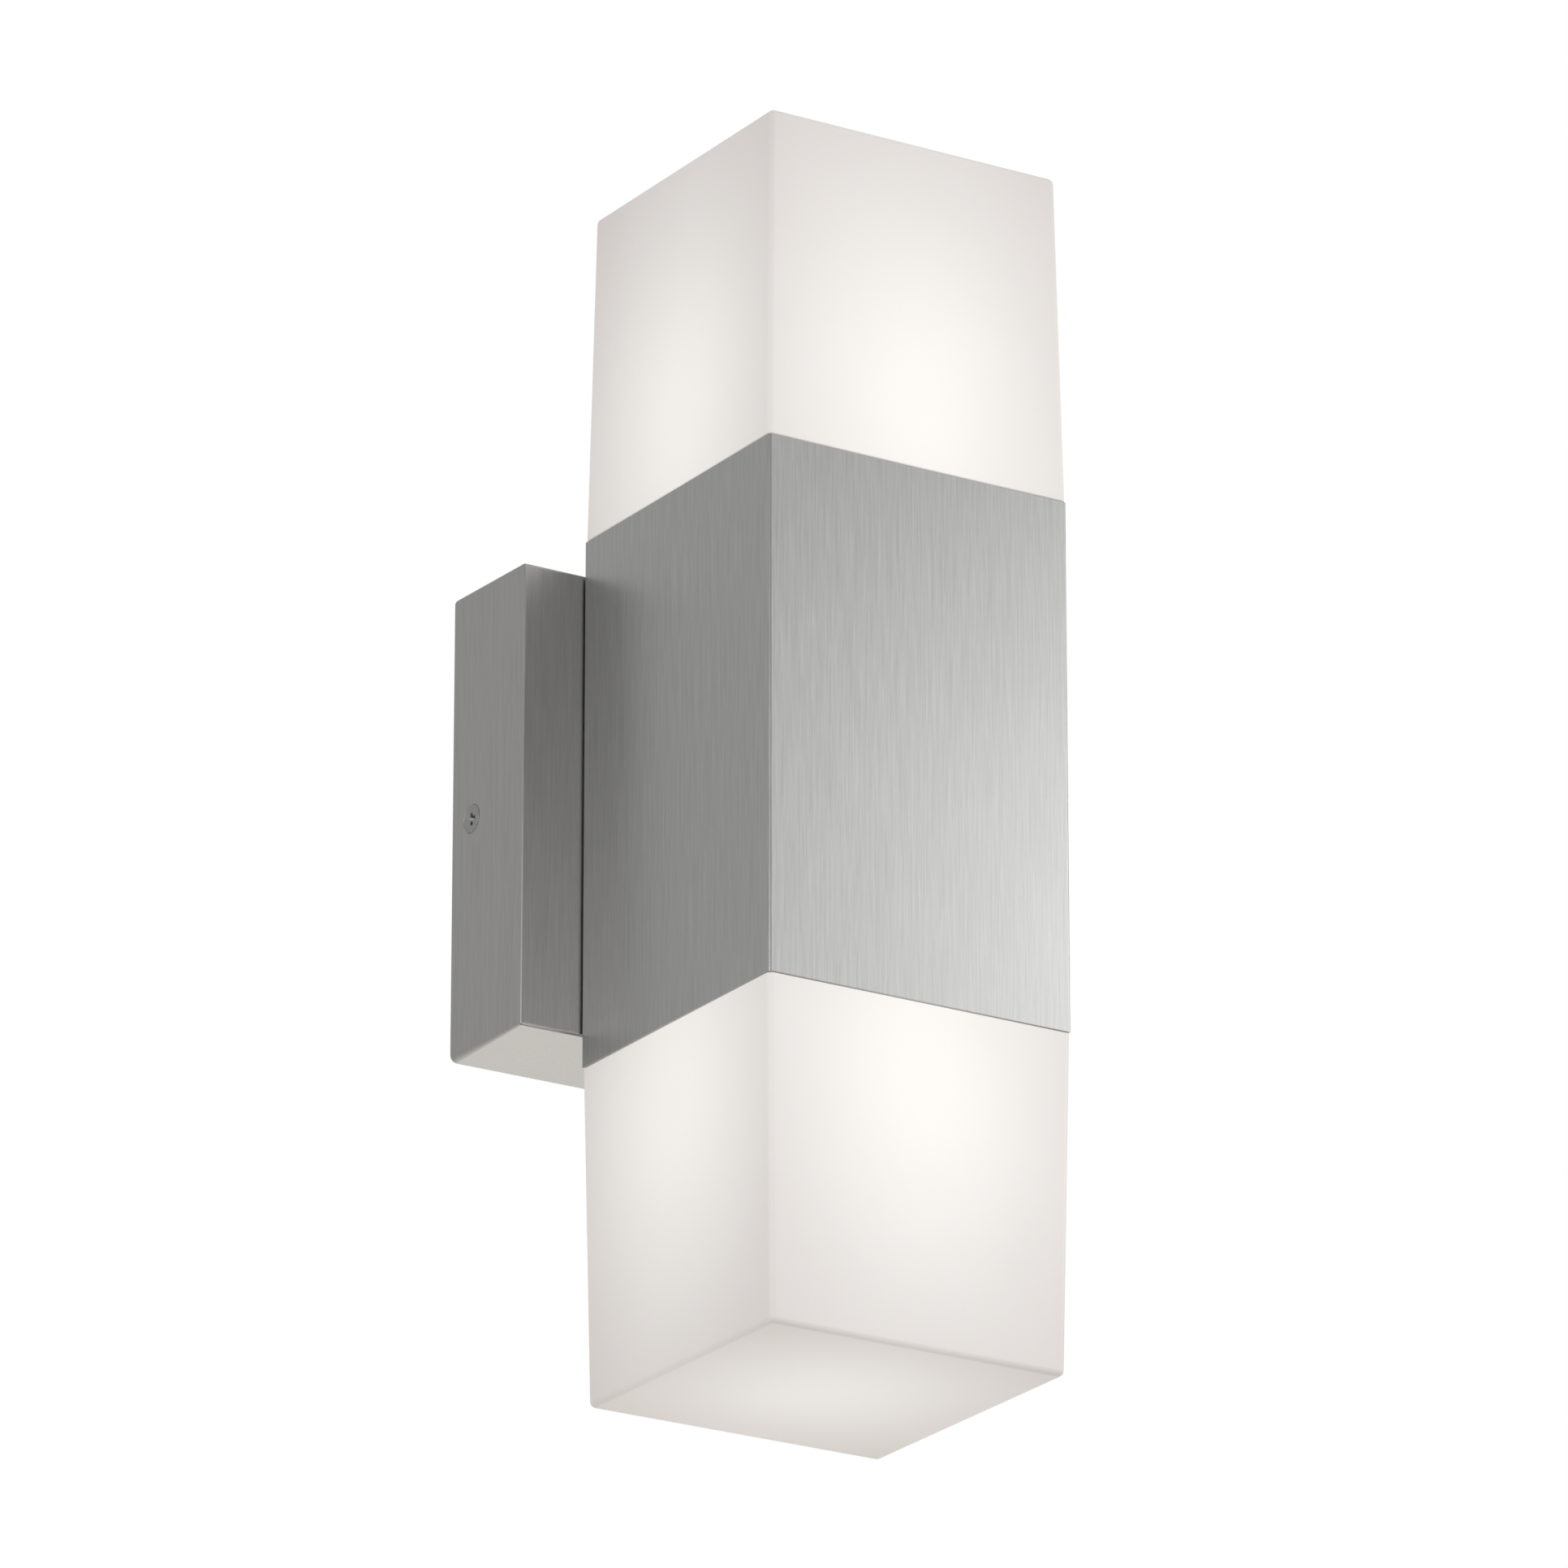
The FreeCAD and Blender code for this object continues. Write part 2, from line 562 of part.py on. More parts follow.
def body_tube():
    """Square extrusion with a screw port in each corner and the fixing holes at the rear."""
    body = body_in("body_tube", 0.0)
    sketch = sketch_on(body, "XY_Plane")
    rectangle(sketch, "0", "0", "tube_side", "tube_side")
    rectangle(sketch, "0", "0", "2 * tube_inside", "2 * tube_inside")
    pad(body, sketch, "tube_height", both_ways=True)
    port = sketch_on(body, "XY_Plane")
    near = "tube_inside - port_side"
    far = "tube_inside + tube_wall / 2"
    outline(port, ((near, near), (far, near), (far, far), (near, far)))
    circle(port, "port_axis", "port_axis", "screw_hole")
    repeat(body, pad(body, port, "2 * port_end", both_ways=True), 4)
    holes = sketch_on(body, "XZ_Plane")
    circle(holes, "0", "0", "nipple_hole")
    for sign in ("", "-"):
        circle(holes, "0", sign + "bolt_height", "bolt_hole")
        circle(holes, sign + "bridge_screw_x", "0", "screw_hole")
    pocket(body, holes, "tube_side")
    skin = size("tube_side / 2") - NEAR
    end = size("tube_height / 2") - NEAR
    soften(body, "Fillet", "tube_round",
           lambda edge, at: along(edge, 2) and min(abs(at.x), abs(at.y)) > skin)
    soften(body, "Chamfer", "tube_bevel",
           lambda edge, at: abs(at.z) > end and max(abs(at.x), abs(at.y)) > skin)
    keep("body_tube", body)


def canopy():
    """Drafted square pan, open at the wall, with a countersunk screw hole in each side."""
    body = body_in("canopy")
    rear = sketch_on(body, "XZ_Plane")
    rounded_square(rear, "canopy_rear", "canopy_round_rear")
    front = sketch_on(body, "XZ_Plane", "canopy_depth")
    rounded_square(front, "canopy_front", "canopy_round_front")
    loft(body, "AdditiveLoft", rear, front)
    face = -size("canopy_depth") + NEAR
    soften(body, "Fillet", "canopy_edge", lambda edge, at: at.y < face)
    inside_rear = sketch_on(body, "XZ_Plane")
    rectangle(inside_rear, "0", "0", "canopy_rear - 2 * canopy_wall", "canopy_rear - 2 * canopy_wall")
    inside_front = sketch_on(body, "XZ_Plane", "canopy_depth - canopy_wall")
    rectangle(inside_front, "0", "0", "canopy_front - 2 * canopy_wall", "canopy_front - 2 * canopy_wall")
    loft(body, "SubtractiveLoft", inside_rear, inside_front)
    holes = sketch_on(body, "XZ_Plane", "canopy_depth")
    circle(holes, "0", "0", "nipple_hole")
    for sign in ("", "-"):
        circle(holes, "0", sign + "bolt_height", "bolt_hole")
        circle(holes, sign + "bridge_screw_x", "0", "bolt_hole")
    pocket(body, holes, "2 * canopy_wall")
    sides = sketch_on(body, "YZ_Plane")
    circle(sides, "-side_screw_out", "0", "side_bore")
    pocket(body, sides, "2 * canopy_rear", both_ways=True)
    # Each countersink is a cone that runs on past the side face.
    pan = body
    for turn in (LEFTWARD, RIGHTWARD):
        cone = doc.addObject("Part::Cone", "countersink")
        bind(cone, "Radius1", "side_bore / 4")
        bind(cone, "Radius2", "side_sink / 2 + side_cut")
        bind(cone, "Height", "side_sink / 2 + side_cut - side_bore / 4")
        sign = "-" if turn is LEFTWARD else ""
        cone.Placement = Placement(Vector(0, 0, 0), turn)
        bind(cone, "Placement.Base.x", f"{sign}(side_face - side_sink / 2 + side_bore / 4)")
        bind(cone, "Placement.Base.y", "-side_screw_out")
        cut = doc.addObject("Part::Cut", "sunk")
        cut.Base = pan
        cut.Tool = cone
        pan = cut
    keep("canopy", pan)


def joint_gasket():
    """Thin gasket that keeps rain out of the joint between canopy and tube."""
    body = body_in("joint_gasket")
    sketch = sketch_on(body, "XZ_Plane", "canopy_depth")
    rectangle(sketch, "0", "0", "joint_gasket_width", "joint_gasket_height")
    circle(sketch, "0", "0", "nipple_hole")
    for sign in ("", "-"):
        circle(sketch, "0", sign + "bolt_height", "bolt_hole")
        circle(sketch, sign + "bridge_screw_x", "0", "bolt_hole")
    pad(body, sketch, "joint_gap")
    keep("joint_gasket", body)


def wall_gasket():
    """Foam gasket between the bracket and the wall, open over the junction box."""
    body = body_in("wall_gasket")
    sketch = sketch_on(body, "XZ_Plane")
    rectangle(sketch, "0", "0", "wall_gasket_side", "wall_gasket_side")
    circle(sketch, "0", "0", "wall_gasket_bore")
    pad(body, sketch, "wall_gasket_thick")
    keep("wall_gasket", body)


def wall_bracket():
    """Bent steel strap: slots for the junction box, tapped ears for the side screws."""
    body = body_in("wall_bracket")
    sketch = sketch_on(body, "XY_Plane")
    inner = "strap_half - strap_thick"
    outline(sketch, (("-strap_half", "-wall_gasket_thick"), ("-strap_half", "-strap_ear"),
                     (f"-({inner})", "-strap_ear"), (f"-({inner})", "-strap_front"),
                     (inner, "-strap_front"), (inner, "-strap_ear"),
                     ("strap_half", "-strap_ear"), ("strap_half", "-wall_gasket_thick")))
    pad(body, sketch, "strap_width", both_ways=True)
    bend = size("strap_half") - NEAR
    foot = -size("wall_gasket_thick") - NEAR
    soften(body, "Fillet", "strap_bend",
           lambda edge, at: along(edge, 2) and abs(at.x) > bend and at.y > foot)
    holes = sketch_on(body, "XZ_Plane", "strap_ear")
    circle(holes, "0", "0", "nipple_hole")
    circle(holes, "ground_x", "0", "screw_hole")
    for sign in ("", "-"):
        slot(holes, sign + "slot_spacing / 2", "slot_length", "slot_width")
    pocket(body, holes, "strap_ear")
    ears = sketch_on(body, "YZ_Plane")
    circle(ears, "-side_screw_out", "0", "side_tapped")
    pocket(body, ears, "4 * strap_half", both_ways=True)
    keep("wall_bracket", body)


# ---- fixings -----------------------------------------------------------------------------

def housing_fixings():
    """Screws, nuts, washers and the hollow nipple that hold the housing together."""
    side = flat_screw("side_screw", "side_head", "side_shank", "side_length")
    group("side_screws", side, (("-side_face", "-side_screw_out", "0", LEFTWARD),
                                ("side_face", "-side_screw_out", "0", RIGHTWARD)))

    nipple = ring("nipple", "nipple_dia", "nipple_bore", "nipple_front - nipple_rear")
    nipple.Placement = Placement(Vector(0, 0, 0), FORWARD)
    bind(nipple, "Placement.Base.y", "-nipple_rear")
    keep("nipple", nipple)
    bridge = "tube_rear + tube_wall + bridge_thick"
    washer = ring("nipple_washer", "nipple_washer_dia", "nipple_hole", "nipple_washer_thick")
    group("nipple_washers", washer, (("0", "-canopy_inside", "0", REARWARD),
                                     ("0", f"-({bridge})", "0", FORWARD)))
    nut = hex_nut("nipple_nut", "nipple_nut_flats", "nipple_nut_thick", "nipple_dia")
    group("nipple_nuts", nut, (("0", "-canopy_inside + nipple_washer_thick", "0", REARWARD),
                               ("0", f"-({bridge}) - nipple_washer_thick", "0", FORWARD)))

    bolt = pan_screw("tube_screw", "bolt_head", "bolt_head_high", "bolt_dia", "bolt_length")
    group("tube_screws", bolt, (("0", "-canopy_inside", "bolt_height", REARWARD),
                                ("0", "-canopy_inside + lug_thick", "-bolt_height", REARWARD)))
    bolt_nut = hex_nut("tube_nut", "bolt_nut_flats", "bolt_nut_thick", "bolt_dia")
    group("tube_nuts", bolt_nut, (("0", "-tube_rear - tube_wall", "bolt_height", FORWARD),
                                  ("0", "-tube_rear - tube_wall", "-bolt_height", FORWARD)))

    bridge_screw = pan_screw("bridge_screw", "screw_head", "screw_head_high", "screw_dia",
                             "bridge_thick + tube_wall")
    group("bridge_screws", bridge_screw, (("bridge_screw_x", f"-({bridge})", "0", FORWARD),
                                          ("-bridge_screw_x", f"-({bridge})", "0", FORWARD)))


def ground_screw():
    """Hexagon flange screw for the earth lead, in front of the bracket."""
    body = body_in("ground_screw")
    head = sketch_on(body, "XY_Plane", "screw_washer_thick")
    hexagon(head, "ground_head / 2")
    pad(body, head, "screw_head_high")
    flange = sketch_on(body, "XY_Plane")
    circle(flange, "0", "0", "screw_washer")
    pad(body, flange, "screw_washer_thick")
    shank = sketch_on(body, "XY_Plane")
    circle(shank, "0", "0", "screw_dia")
    pad(body, shank, "lug_thick + strap_thick + ground_point", backwards=True)
    slit = sketch_on(body, "XY_Plane", "screw_washer_thick + screw_head_high")
    rectangle(slit, "0", "0", "ground_slit", "2 * ground_head")
    pocket(body, slit, "screw_head_high / 2")
    body.Placement = Placement(Vector(0, 0, 0), FORWARD)
    bind(body, "Placement.Base.x", "ground_x")
    bind(body, "Placement.Base.y", "-strap_front - lug_thick")
    keep("ground_screw", body)


def lamp_bridge():
    """Steel channel on the tube's rear wall that carries both sockets."""
    body = body_in("lamp_bridge", 0.0)
    sketch = sketch_on(body, "YZ_Plane")
    inner = "bridge_top - bridge_thick"
    web = "tube_inside - bridge_thick"
    outline(sketch, (("-bridge_reach", "bridge_top"), ("tube_inside", "bridge_top"),
                     ("tube_inside", "-bridge_top"), ("-bridge_reach", "-bridge_top"),
                     ("-bridge_reach", f"-({inner})"), (web, f"-({inner})"), (web, inner),
                     ("-bridge_reach", inner)))
    pad(body, sketch, "2 * bridge_half", both_ways=True)
    back = size("tube_inside") - NEAR
    soften(body, "Fillet", "bridge_bend", lambda edge, at: along(edge, 0) and at.y > back)
    web_holes = sketch_on(body, "XZ_Plane")
    circle(web_holes, "0", "0", "nipple_hole")
    flange_holes = sketch_on(body, "XY_Plane")
    circle(flange_holes, "0", "0", "wire_hole")
    for sign in ("", "-"):
        circle(web_holes, sign + "bridge_screw_x", "0", "screw_hole")
        circle(flange_holes, sign + "bridge_screw_x", "0", "screw_hole")
    pocket(body, web_holes, "tube_side")
    pocket(body, flange_holes, "4 * bridge_top", both_ways=True)
    keep("lamp_bridge", body)


# ---- one side: socket, lamp, holder and shade --------------------------------------------

def shade_holder(name, turn):
    """Die-cast plate in the end of the tube with the collar that the glass screws into."""
    body = body_in(name, turn)
    plate = sketch_on(body, "XY_Plane", "port_end")
    rectangle(plate, "0", "0", "holder_side", "holder_side")
    circle(plate, "0", "0", "holder_bore")
    pad(body, plate, "holder_thick")
    collar = sketch_on(body, "XY_Plane", "port_end + holder_thick / 2")
    circle(collar, "0", "0", "holder_collar")
    circle(collar, "0", "0", "holder_bore")
    pad(body, collar, "holder_collar_deep + holder_thick / 2", backwards=True)
    doc.recompute()
    hole = sketch_on(body, "XY_Plane", "holder_top")
    circle(hole, "port_axis", "port_axis", "screw_hole")
    doc.recompute()
    sunk = body.newObject("PartDesign::Hole", "countersunk")
    sunk.Profile = hole
    bind(sunk, "Diameter", "screw_hole")
    bind(sunk, "Depth", "2 * holder_thick")
    sunk.HoleCutType = "Countersink"
    sunk.HoleCutCustomValues = True
    bind(sunk, "HoleCutDiameter", "screw_head + sink_margin")
    sunk.HoleCutCountersinkAngle = 90
    repeat(body, sunk, 4)
    keep(name, body)


def socket(name, turn):
    """Porcelain medium-base socket with two lead holes and two screw holes in its base."""
    body = body_in(name, turn)
    sketch = sketch_on(body, "XZ_Plane")
    shoulder = "bridge_top + socket_wide"
    outline(sketch, (("0", "bridge_top"), ("socket_dia / 2", "bridge_top"),
                     ("socket_dia / 2", shoulder), ("socket_mouth / 2", f"{shoulder} + socket_slope"),
                     ("socket_mouth / 2", "socket_top"), ("socket_bore / 2", "socket_top"),
                     ("socket_bore / 2", "socket_floor"), ("0", "socket_floor")))
    revolve(body, sketch)
    holes = sketch_on(body, "XY_Plane", "lead_start + lead_room")
    screws = sketch_on(body, "XY_Plane", "bridge_top + socket_screw")
    for sign in ("", "-"):
        circle(holes, sign + "lead_spread", "0", "lead_hole")
        circle(screws, sign + "bridge_screw_x", "0", "screw_hole")
    pocket(body, holes, "socket_high")
    pocket(body, screws, "socket_high")
    rim = size("socket_top") - NEAR
    soften(body, "Fillet", "socket_round", lambda edge, at: at.z > rim)
    keep(name, body)


def socket_contact(name, turn):
    """Brass centre contact on the floor of the socket."""
    body = body_in(name, turn)
    sketch = sketch_on(body, "XZ_Plane")
    disc = "socket_floor + contact_thick"
    outline(sketch, (("0", "socket_floor"), ("contact_dia / 2", "socket_floor"),
                     ("contact_dia / 2", disc), ("contact_tip / 2", f"{disc} + contact_rise"),
                     ("contact_tip / 2", "contact_top - contact_round"),
                     ("contact_tip / 4", "contact_top"), ("0", "contact_top")))
    revolve(body, sketch)
    keep(name, body)


def lamp_cap(name, turn):
    """Brass screw cap of the lamp, with the rolled thread drawn as rings."""
    body = body_in(name, turn)
    sketch = sketch_on(body, "XZ_Plane")
    skin = [("cap_radius - cap_turn_in", "cap_start - cap_turn_up"), ("cap_root", "cap_start")]
    for coil in range(CAP_TURNS):
        skin.append(("cap_radius", f"cap_start + cap_pitch * {coil + 0.5}"))
        skin.append(("cap_root", f"cap_start + cap_pitch * {coil + 1}"))
    skin.append(("cap_root", "lamp_rim"))
    back = [(f"{x} - cap_wall", z) for x, z in reversed(skin)]
    outline(sketch, skin + back)
    revolve(body, sketch)
    keep(name, body)


def lamp_globe(name, turn):
    """Frosted A19 globe, one thin wall from the cap to the crown."""
    body = body_in(name, turn)
    sketch = sketch_on(body, "XZ_Plane")
    middle = "(lamp_top - lamp_radius)"
    inner = "(lamp_radius - lamp_glass)"
    neck = "cap_root - cap_wall - globe_fit"
    neck_bore = f"{neck} - lamp_glass"
    lip = "lamp_rim - globe_lip"
    waist = "lamp_rim + globe_neck"
    outline(sketch, ((neck, lip), (neck, waist),
                     ("lamp_radius * cos(30 deg)", f"{middle} - lamp_radius * sin(30 deg)"),
                     ("lamp_radius", middle), ("0", "lamp_top"),
                     ("0", "lamp_top - lamp_glass"), (inner, middle),
                     (f"{inner} * cos(30 deg)", f"{middle} - {inner} * sin(30 deg)"),
                     (neck_bore, waist), (neck_bore, lip)),
            {2: ("lamp_radius", 1), 3: ("lamp_radius", 1), 5: (inner, -1), 6: (inner, -1)})
    revolve(body, sketch)
    keep(name, body)


def lamp_ends(side, turn):
    """Glass insulator and solder tip below the cap."""
    insulator = body_in(side + "_lamp_insulator", turn)
    sketch = sketch_on(insulator, "XZ_Plane")
    foot = "lamp_tip_at + glass_lift"
    brim = "cap_radius - cap_turn_in - cap_wall - glass_fit"
    top = "cap_start - glass_top"
    outline(sketch, (("glass_bore", foot), ("glass_foot", foot), (brim, "cap_start - cap_turn_up"),
                     (brim, top), ("glass_bore", top)))
    revolve(insulator, sketch)
    keep(side + "_lamp_insulator", insulator)
    tip = body_in(side + "_lamp_tip", turn)
    sketch = sketch_on(tip, "XZ_Plane")
    brim = "lamp_tip_at + solder_high"
    stem = "cap_start - 2 * glass_top"
    outline(sketch, (("0", "lamp_tip_at"), ("solder_foot", "lamp_tip_at"), ("solder_brim", brim),
                     ("solder_stem", brim), ("solder_stem", stem), ("0", stem)))
    revolve(tip, sketch)
    keep(side + "_lamp_tip", tip)


def shade(name, turn):
    """Opal glass: a drafted square jar whose threaded neck screws into the holder."""
    body = body_in(name, turn)
    frustum(body, "AdditiveWedge", "shade_seat", "span / 2", "shade_half", "shade_half - shade_draft")
    rim = size("shade_seat") + NEAR
    soften(body, "Fillet", "shade_round", lambda edge, at: at.z > rim)
    frustum(body, "SubtractiveWedge", "shade_seat + shade_floor", "span / 2 - shade_end",
            "shade_half - shade_wall", "shade_half - shade_wall - shade_draft")
    floor = size("shade_seat + shade_floor") + NEAR
    roof = size("span / 2 - shade_end") + NEAR
    inside = size("shade_half - shade_wall") + NEAR
    soften(body, "Fillet", "shade_round",
           lambda edge, at: floor < at.z < roof and max(abs(at.x), abs(at.y)) < inside)
    neck = sketch_on(body, "XY_Plane", "shade_seat - neck_length")
    circle(neck, "0", "0", "2 * neck_core")
    pad(body, neck, "neck_length + shade_floor / 2")
    ridge = sketch_on(body, "XZ_Plane")
    start = "shade_seat - neck_length + thread_start"
    root = "neck_core - thread_root"
    outline(ridge, ((root, start), ("neck_crest", f"{start} + thread_flank"),
                    ("neck_crest", f"{start} + thread_flank + thread_land"),
                    (root, f"{start} + 2 * thread_flank + thread_land")))
    thread = body.newObject("PartDesign::AdditiveHelix", "thread")
    thread.Profile = ridge
    thread.ReferenceAxis = (ridge, ["V_Axis"])
    thread.Mode = "pitch-height-angle"
    bind(thread, "Pitch", "thread_pitch")
    bind(thread, "Height", "thread_pitch")
    doc.recompute()
    bore = sketch_on(body, "XY_Plane", "shade_seat + 2 * shade_floor")
    circle(bore, "0", "0", "neck_bore")
    pocket(body, bore, "2 * neck_length + 2 * shade_floor")
    keep(name, body)


def rings_on_axis(side, turn):
    """Screw shell of the socket and the silicone ring under the shade."""
    for label, outside, inside, start, long in (
            ("_socket_shell", "shell_dia", "shell_bore", "shell_start", "shell_end - shell_start"),
            ("_shade_gasket", "gasket_dia", "gasket_bore", "holder_top + gasket_lift", "gasket_thick")):
        piece = ring(side + label, outside, inside, long)
        piece.Placement = Placement(Vector(0, 0, 0), Rotation(Vector(1, 0, 0), turn))
        bind(piece, "Placement.Base.y", "-axis_out")
        bind(piece, "Placement.Base.z", start if turn == 0 else f"-({start})")
        keep(side + label, piece)


def side_fixings(side, turn, flat, pan):
    """Four screws through the shade holder and two into the foot of the socket."""
    sign = "" if turn == 0 else "-"
    outwards, inwards = (UPWARD, DOWNWARD) if turn == 0 else (DOWNWARD, UPWARD)
    places = []
    for x in ("", "-"):
        for y in ("", "-"):
            place = (x + "port_axis", f"-axis_out + ({y}port_axis)", sign + "holder_top")
            places.append((*place, outwards))
    group(side + "_holder_screws", flat, places)
    seat = f"{sign}(bridge_top - bridge_thick)"
    group(side + "_socket_screws", pan, (("bridge_screw_x", "-axis_out", seat, inwards),
                                         ("-bridge_screw_x", "-axis_out", seat, inwards)))


# ---- wiring ------------------------------------------------------------------------------

# Share of the shorter run that a bend uses up at each of its ends.
BEND_SHARE = 0.45
# Largest share by which a swept lead may miss its volume.
VOLUME_SLACK = 0.02


def lead(name, route):
    """Insulated lead along straight runs joined by tangent arcs."""
    points = [Vector(*[size(formula) for formula in place]) for place in route]
    runs = [(end - start).Length for start, end in zip(points, points[1:])]
    edges = []
    here = points[0]
    length = 0.0
    for number in range(1, len(points) - 1):
        before = (points[number - 1] - points[number]).normalize()
        after = (points[number + 1] - points[number]).normalize()
        turn = math.pi - before.getAngle(after)
        setback = BEND_SHARE * min(runs[number - 1], runs[number])
        radius = setback / math.tan(turn / 2)
        first = points[number] + before * setback
        last = points[number] + after * setback
        centre = points[number] + (before + after).normalize() * (radius / math.cos(turn / 2))
        middle = centre + (points[number] - centre).normalize() * radius
        edges.append(Part.LineSegment(here, first).toShape())
        edges.append(Part.Arc(first, middle, last).toShape())
        length += (first - here).Length + radius * turn
        here = last
    edges.append(Part.LineSegment(here, points[-1]).toShape())
    length += (points[-1] - here).Length
    path = Part.Wire(edges)
    radius = size("wire_dia / 2")
    section = Part.Wire(Part.Circle(points[0], points[1] - points[0], radius).toShape())
    solid = path.makePipeShell([section], True, True)
    ideal = math.pi * radius ** 2 * length
    if abs(solid.Volume / ideal - 1) > VOLUME_SLACK:
        raise RuntimeError(f"{name}: the lead has the wrong volume")
    feature = doc.addObject("Part::Feature", name)
    feature.Shape = solid
    keep(name, feature)


def wiring():
    """Four socket leads through the nipple to two connectors, and the earth lead."""
    for side, turn in SIDES:
        up = "" if turn == 0 else "-"
        for colour, across in (("black", "-"), ("white", "")):
            lead(f"{side}_{colour}_lead", (
                (across + "lead_spread", "-axis_out", up + "lead_start"),
                (across + "lead_spread", "-axis_out", up + "lead_start / 2"),
                (across + "lead_spread / 2", "-axis_out + lead_drop", up + "(lead_gap + lead_fan)"),
                (across + "lead_gap", "-nipple_front - lead_enter", up + "lead_gap"),
                (across + "lead_gap", "-nipple_rear", up + "lead_gap"),
                (across + "(lead_gap + lead_fan)", "-lead_turn - wire_dia", up + "lead_gap"),
                (across + "lead_side", "-lead_turn", up + "lead_gap"),
                (across + "lead_end", "-lead_turn", up + "lead_gap")))

    cap = doc.addObject("Part::Cone", "connector_outside")
    bind(cap, "Radius1", "connector_dia / 2")
    bind(cap, "Radius2", "connector_small / 2")
    bind(cap, "Height", "connector_long")
    bore = doc.addObject("Part::Cylinder", "connector_bore_tool")
    bind(bore, "Radius", "connector_bore / 2")
    bind(bore, "Height", "connector_deep")
    connector = doc.addObject("Part::Cut", "connector")
    connector.Base = cap
    connector.Tool = bore
    group("wire_connectors", connector, (("-connector_at", "-lead_turn", "0", LEFTWARD),
                                         ("connector_at", "-lead_turn", "0", RIGHTWARD)))

    lug = body_in("ring_terminal")
    barrel = sketch_on(lug, "XZ_Plane", "-lug_ring / 2 - lug_step")
    circle(barrel, "0", "lug_barrel / 2", "lug_barrel")
    circle(barrel, "0", "lug_barrel / 2", "lug_barrel_bore")
    pad(lug, barrel, "lug_barrel_long", backwards=True)
    plate = sketch_on(lug, "XY_Plane")
    circle(plate, "0", "0", "lug_ring")
    circle(plate, "0", "0", "lug_bore")
    pad(lug, plate, "lug_thick")
    tongue = sketch_on(lug, "XY_Plane")
    rectangle(tongue, "0", "lug_ring / 2", "lug_barrel", "lug_ring / 4")
    pad(lug, tongue, "lug_thick")
    half_turn = Rotation(Vector(0, 0, 1), 180)
    group("ground_terminals", lug, (
        ("0", "-canopy_inside", "-bolt_height", REARWARD.multiply(half_turn)),
        ("ground_x", "-strap_front", "0", FORWARD.multiply(half_turn))))
    front = "-canopy_inside + lug_barrel / 2"
    rear = "-strap_front - lug_barrel / 2"
    near = "lug_ring / 2 + lug_barrel_long / 2"
    lead("ground_lead", (("0", front, f"-bolt_height + {near}"), ("0", front, "-earth_high"),
                         ("ground_x", rear, "-earth_low"), ("ground_x", rear, f"-({near})")))


def build():
    """Draw every sub-part."""
    body_tube()
    canopy()
    joint_gasket()
    wall_gasket()
    wall_bracket()
    housing_fixings()
    ground_screw()
    lamp_bridge()
    flat = flat_screw("holder_screw", "screw_head", "screw_dia", "holder_screw")
    pan = pan_screw("socket_screw", "screw_head", "screw_head_high", "screw_dia", "socket_screw")
    for side, turn in SIDES:
        shade_holder(side + "_shade_holder", turn)
        socket(side + "_socket", turn)
        socket_contact(side + "_socket_contact", turn)
        lamp_cap(side + "_lamp_cap", turn)
        lamp_globe(side + "_lamp_globe", turn)
        lamp_ends(side, turn)
        shade(side + "_shade", turn)
        rings_on_axis(side, turn)
        side_fixings(side, turn, flat, pan)
    wiring()
    doc.recompute()


def check_and_write():
    """Stop on a failed feature or a bad shape, then write one STEP file for each sub-part."""
    for thing in doc.Objects:
        if "Invalid" in thing.State or "Error" in thing.State:
            raise RuntimeError(f"{thing.Name} failed: {thing.State}")
    os.makedirs("parts", exist_ok=True)
    for name, thing in nodes.items():
        shape = thing.Shape
        if shape.isNull() or not shape.isValid():
            raise RuntimeError(f"{name} has no valid shape")
        print(f"{name}: {len(shape.Solids)} solid(s), {shape.Volume:.1f} mm3")
        shape.exportStep(os.path.join("parts", name + ".step"))


build()
check_and_write()
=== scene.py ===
import math
import bpy
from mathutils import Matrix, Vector


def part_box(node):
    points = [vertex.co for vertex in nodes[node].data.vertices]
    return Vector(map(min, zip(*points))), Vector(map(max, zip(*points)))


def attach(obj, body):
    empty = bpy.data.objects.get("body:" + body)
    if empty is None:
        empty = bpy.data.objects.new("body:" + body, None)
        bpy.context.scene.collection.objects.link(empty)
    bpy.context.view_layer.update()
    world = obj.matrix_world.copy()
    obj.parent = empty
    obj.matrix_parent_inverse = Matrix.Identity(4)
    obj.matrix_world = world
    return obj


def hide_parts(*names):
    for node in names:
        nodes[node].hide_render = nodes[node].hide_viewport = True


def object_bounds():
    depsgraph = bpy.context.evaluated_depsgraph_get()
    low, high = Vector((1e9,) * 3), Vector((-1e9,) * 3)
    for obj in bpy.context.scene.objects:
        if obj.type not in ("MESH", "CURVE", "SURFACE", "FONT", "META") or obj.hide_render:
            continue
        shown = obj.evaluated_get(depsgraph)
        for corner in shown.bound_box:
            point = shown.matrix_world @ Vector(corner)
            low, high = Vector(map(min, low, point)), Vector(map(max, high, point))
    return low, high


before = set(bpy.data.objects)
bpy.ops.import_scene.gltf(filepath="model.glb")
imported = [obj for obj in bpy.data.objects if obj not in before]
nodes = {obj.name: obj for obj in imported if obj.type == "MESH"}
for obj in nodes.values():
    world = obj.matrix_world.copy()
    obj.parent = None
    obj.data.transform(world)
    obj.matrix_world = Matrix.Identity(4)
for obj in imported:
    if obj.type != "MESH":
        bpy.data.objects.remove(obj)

cad_low, cad_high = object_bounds()

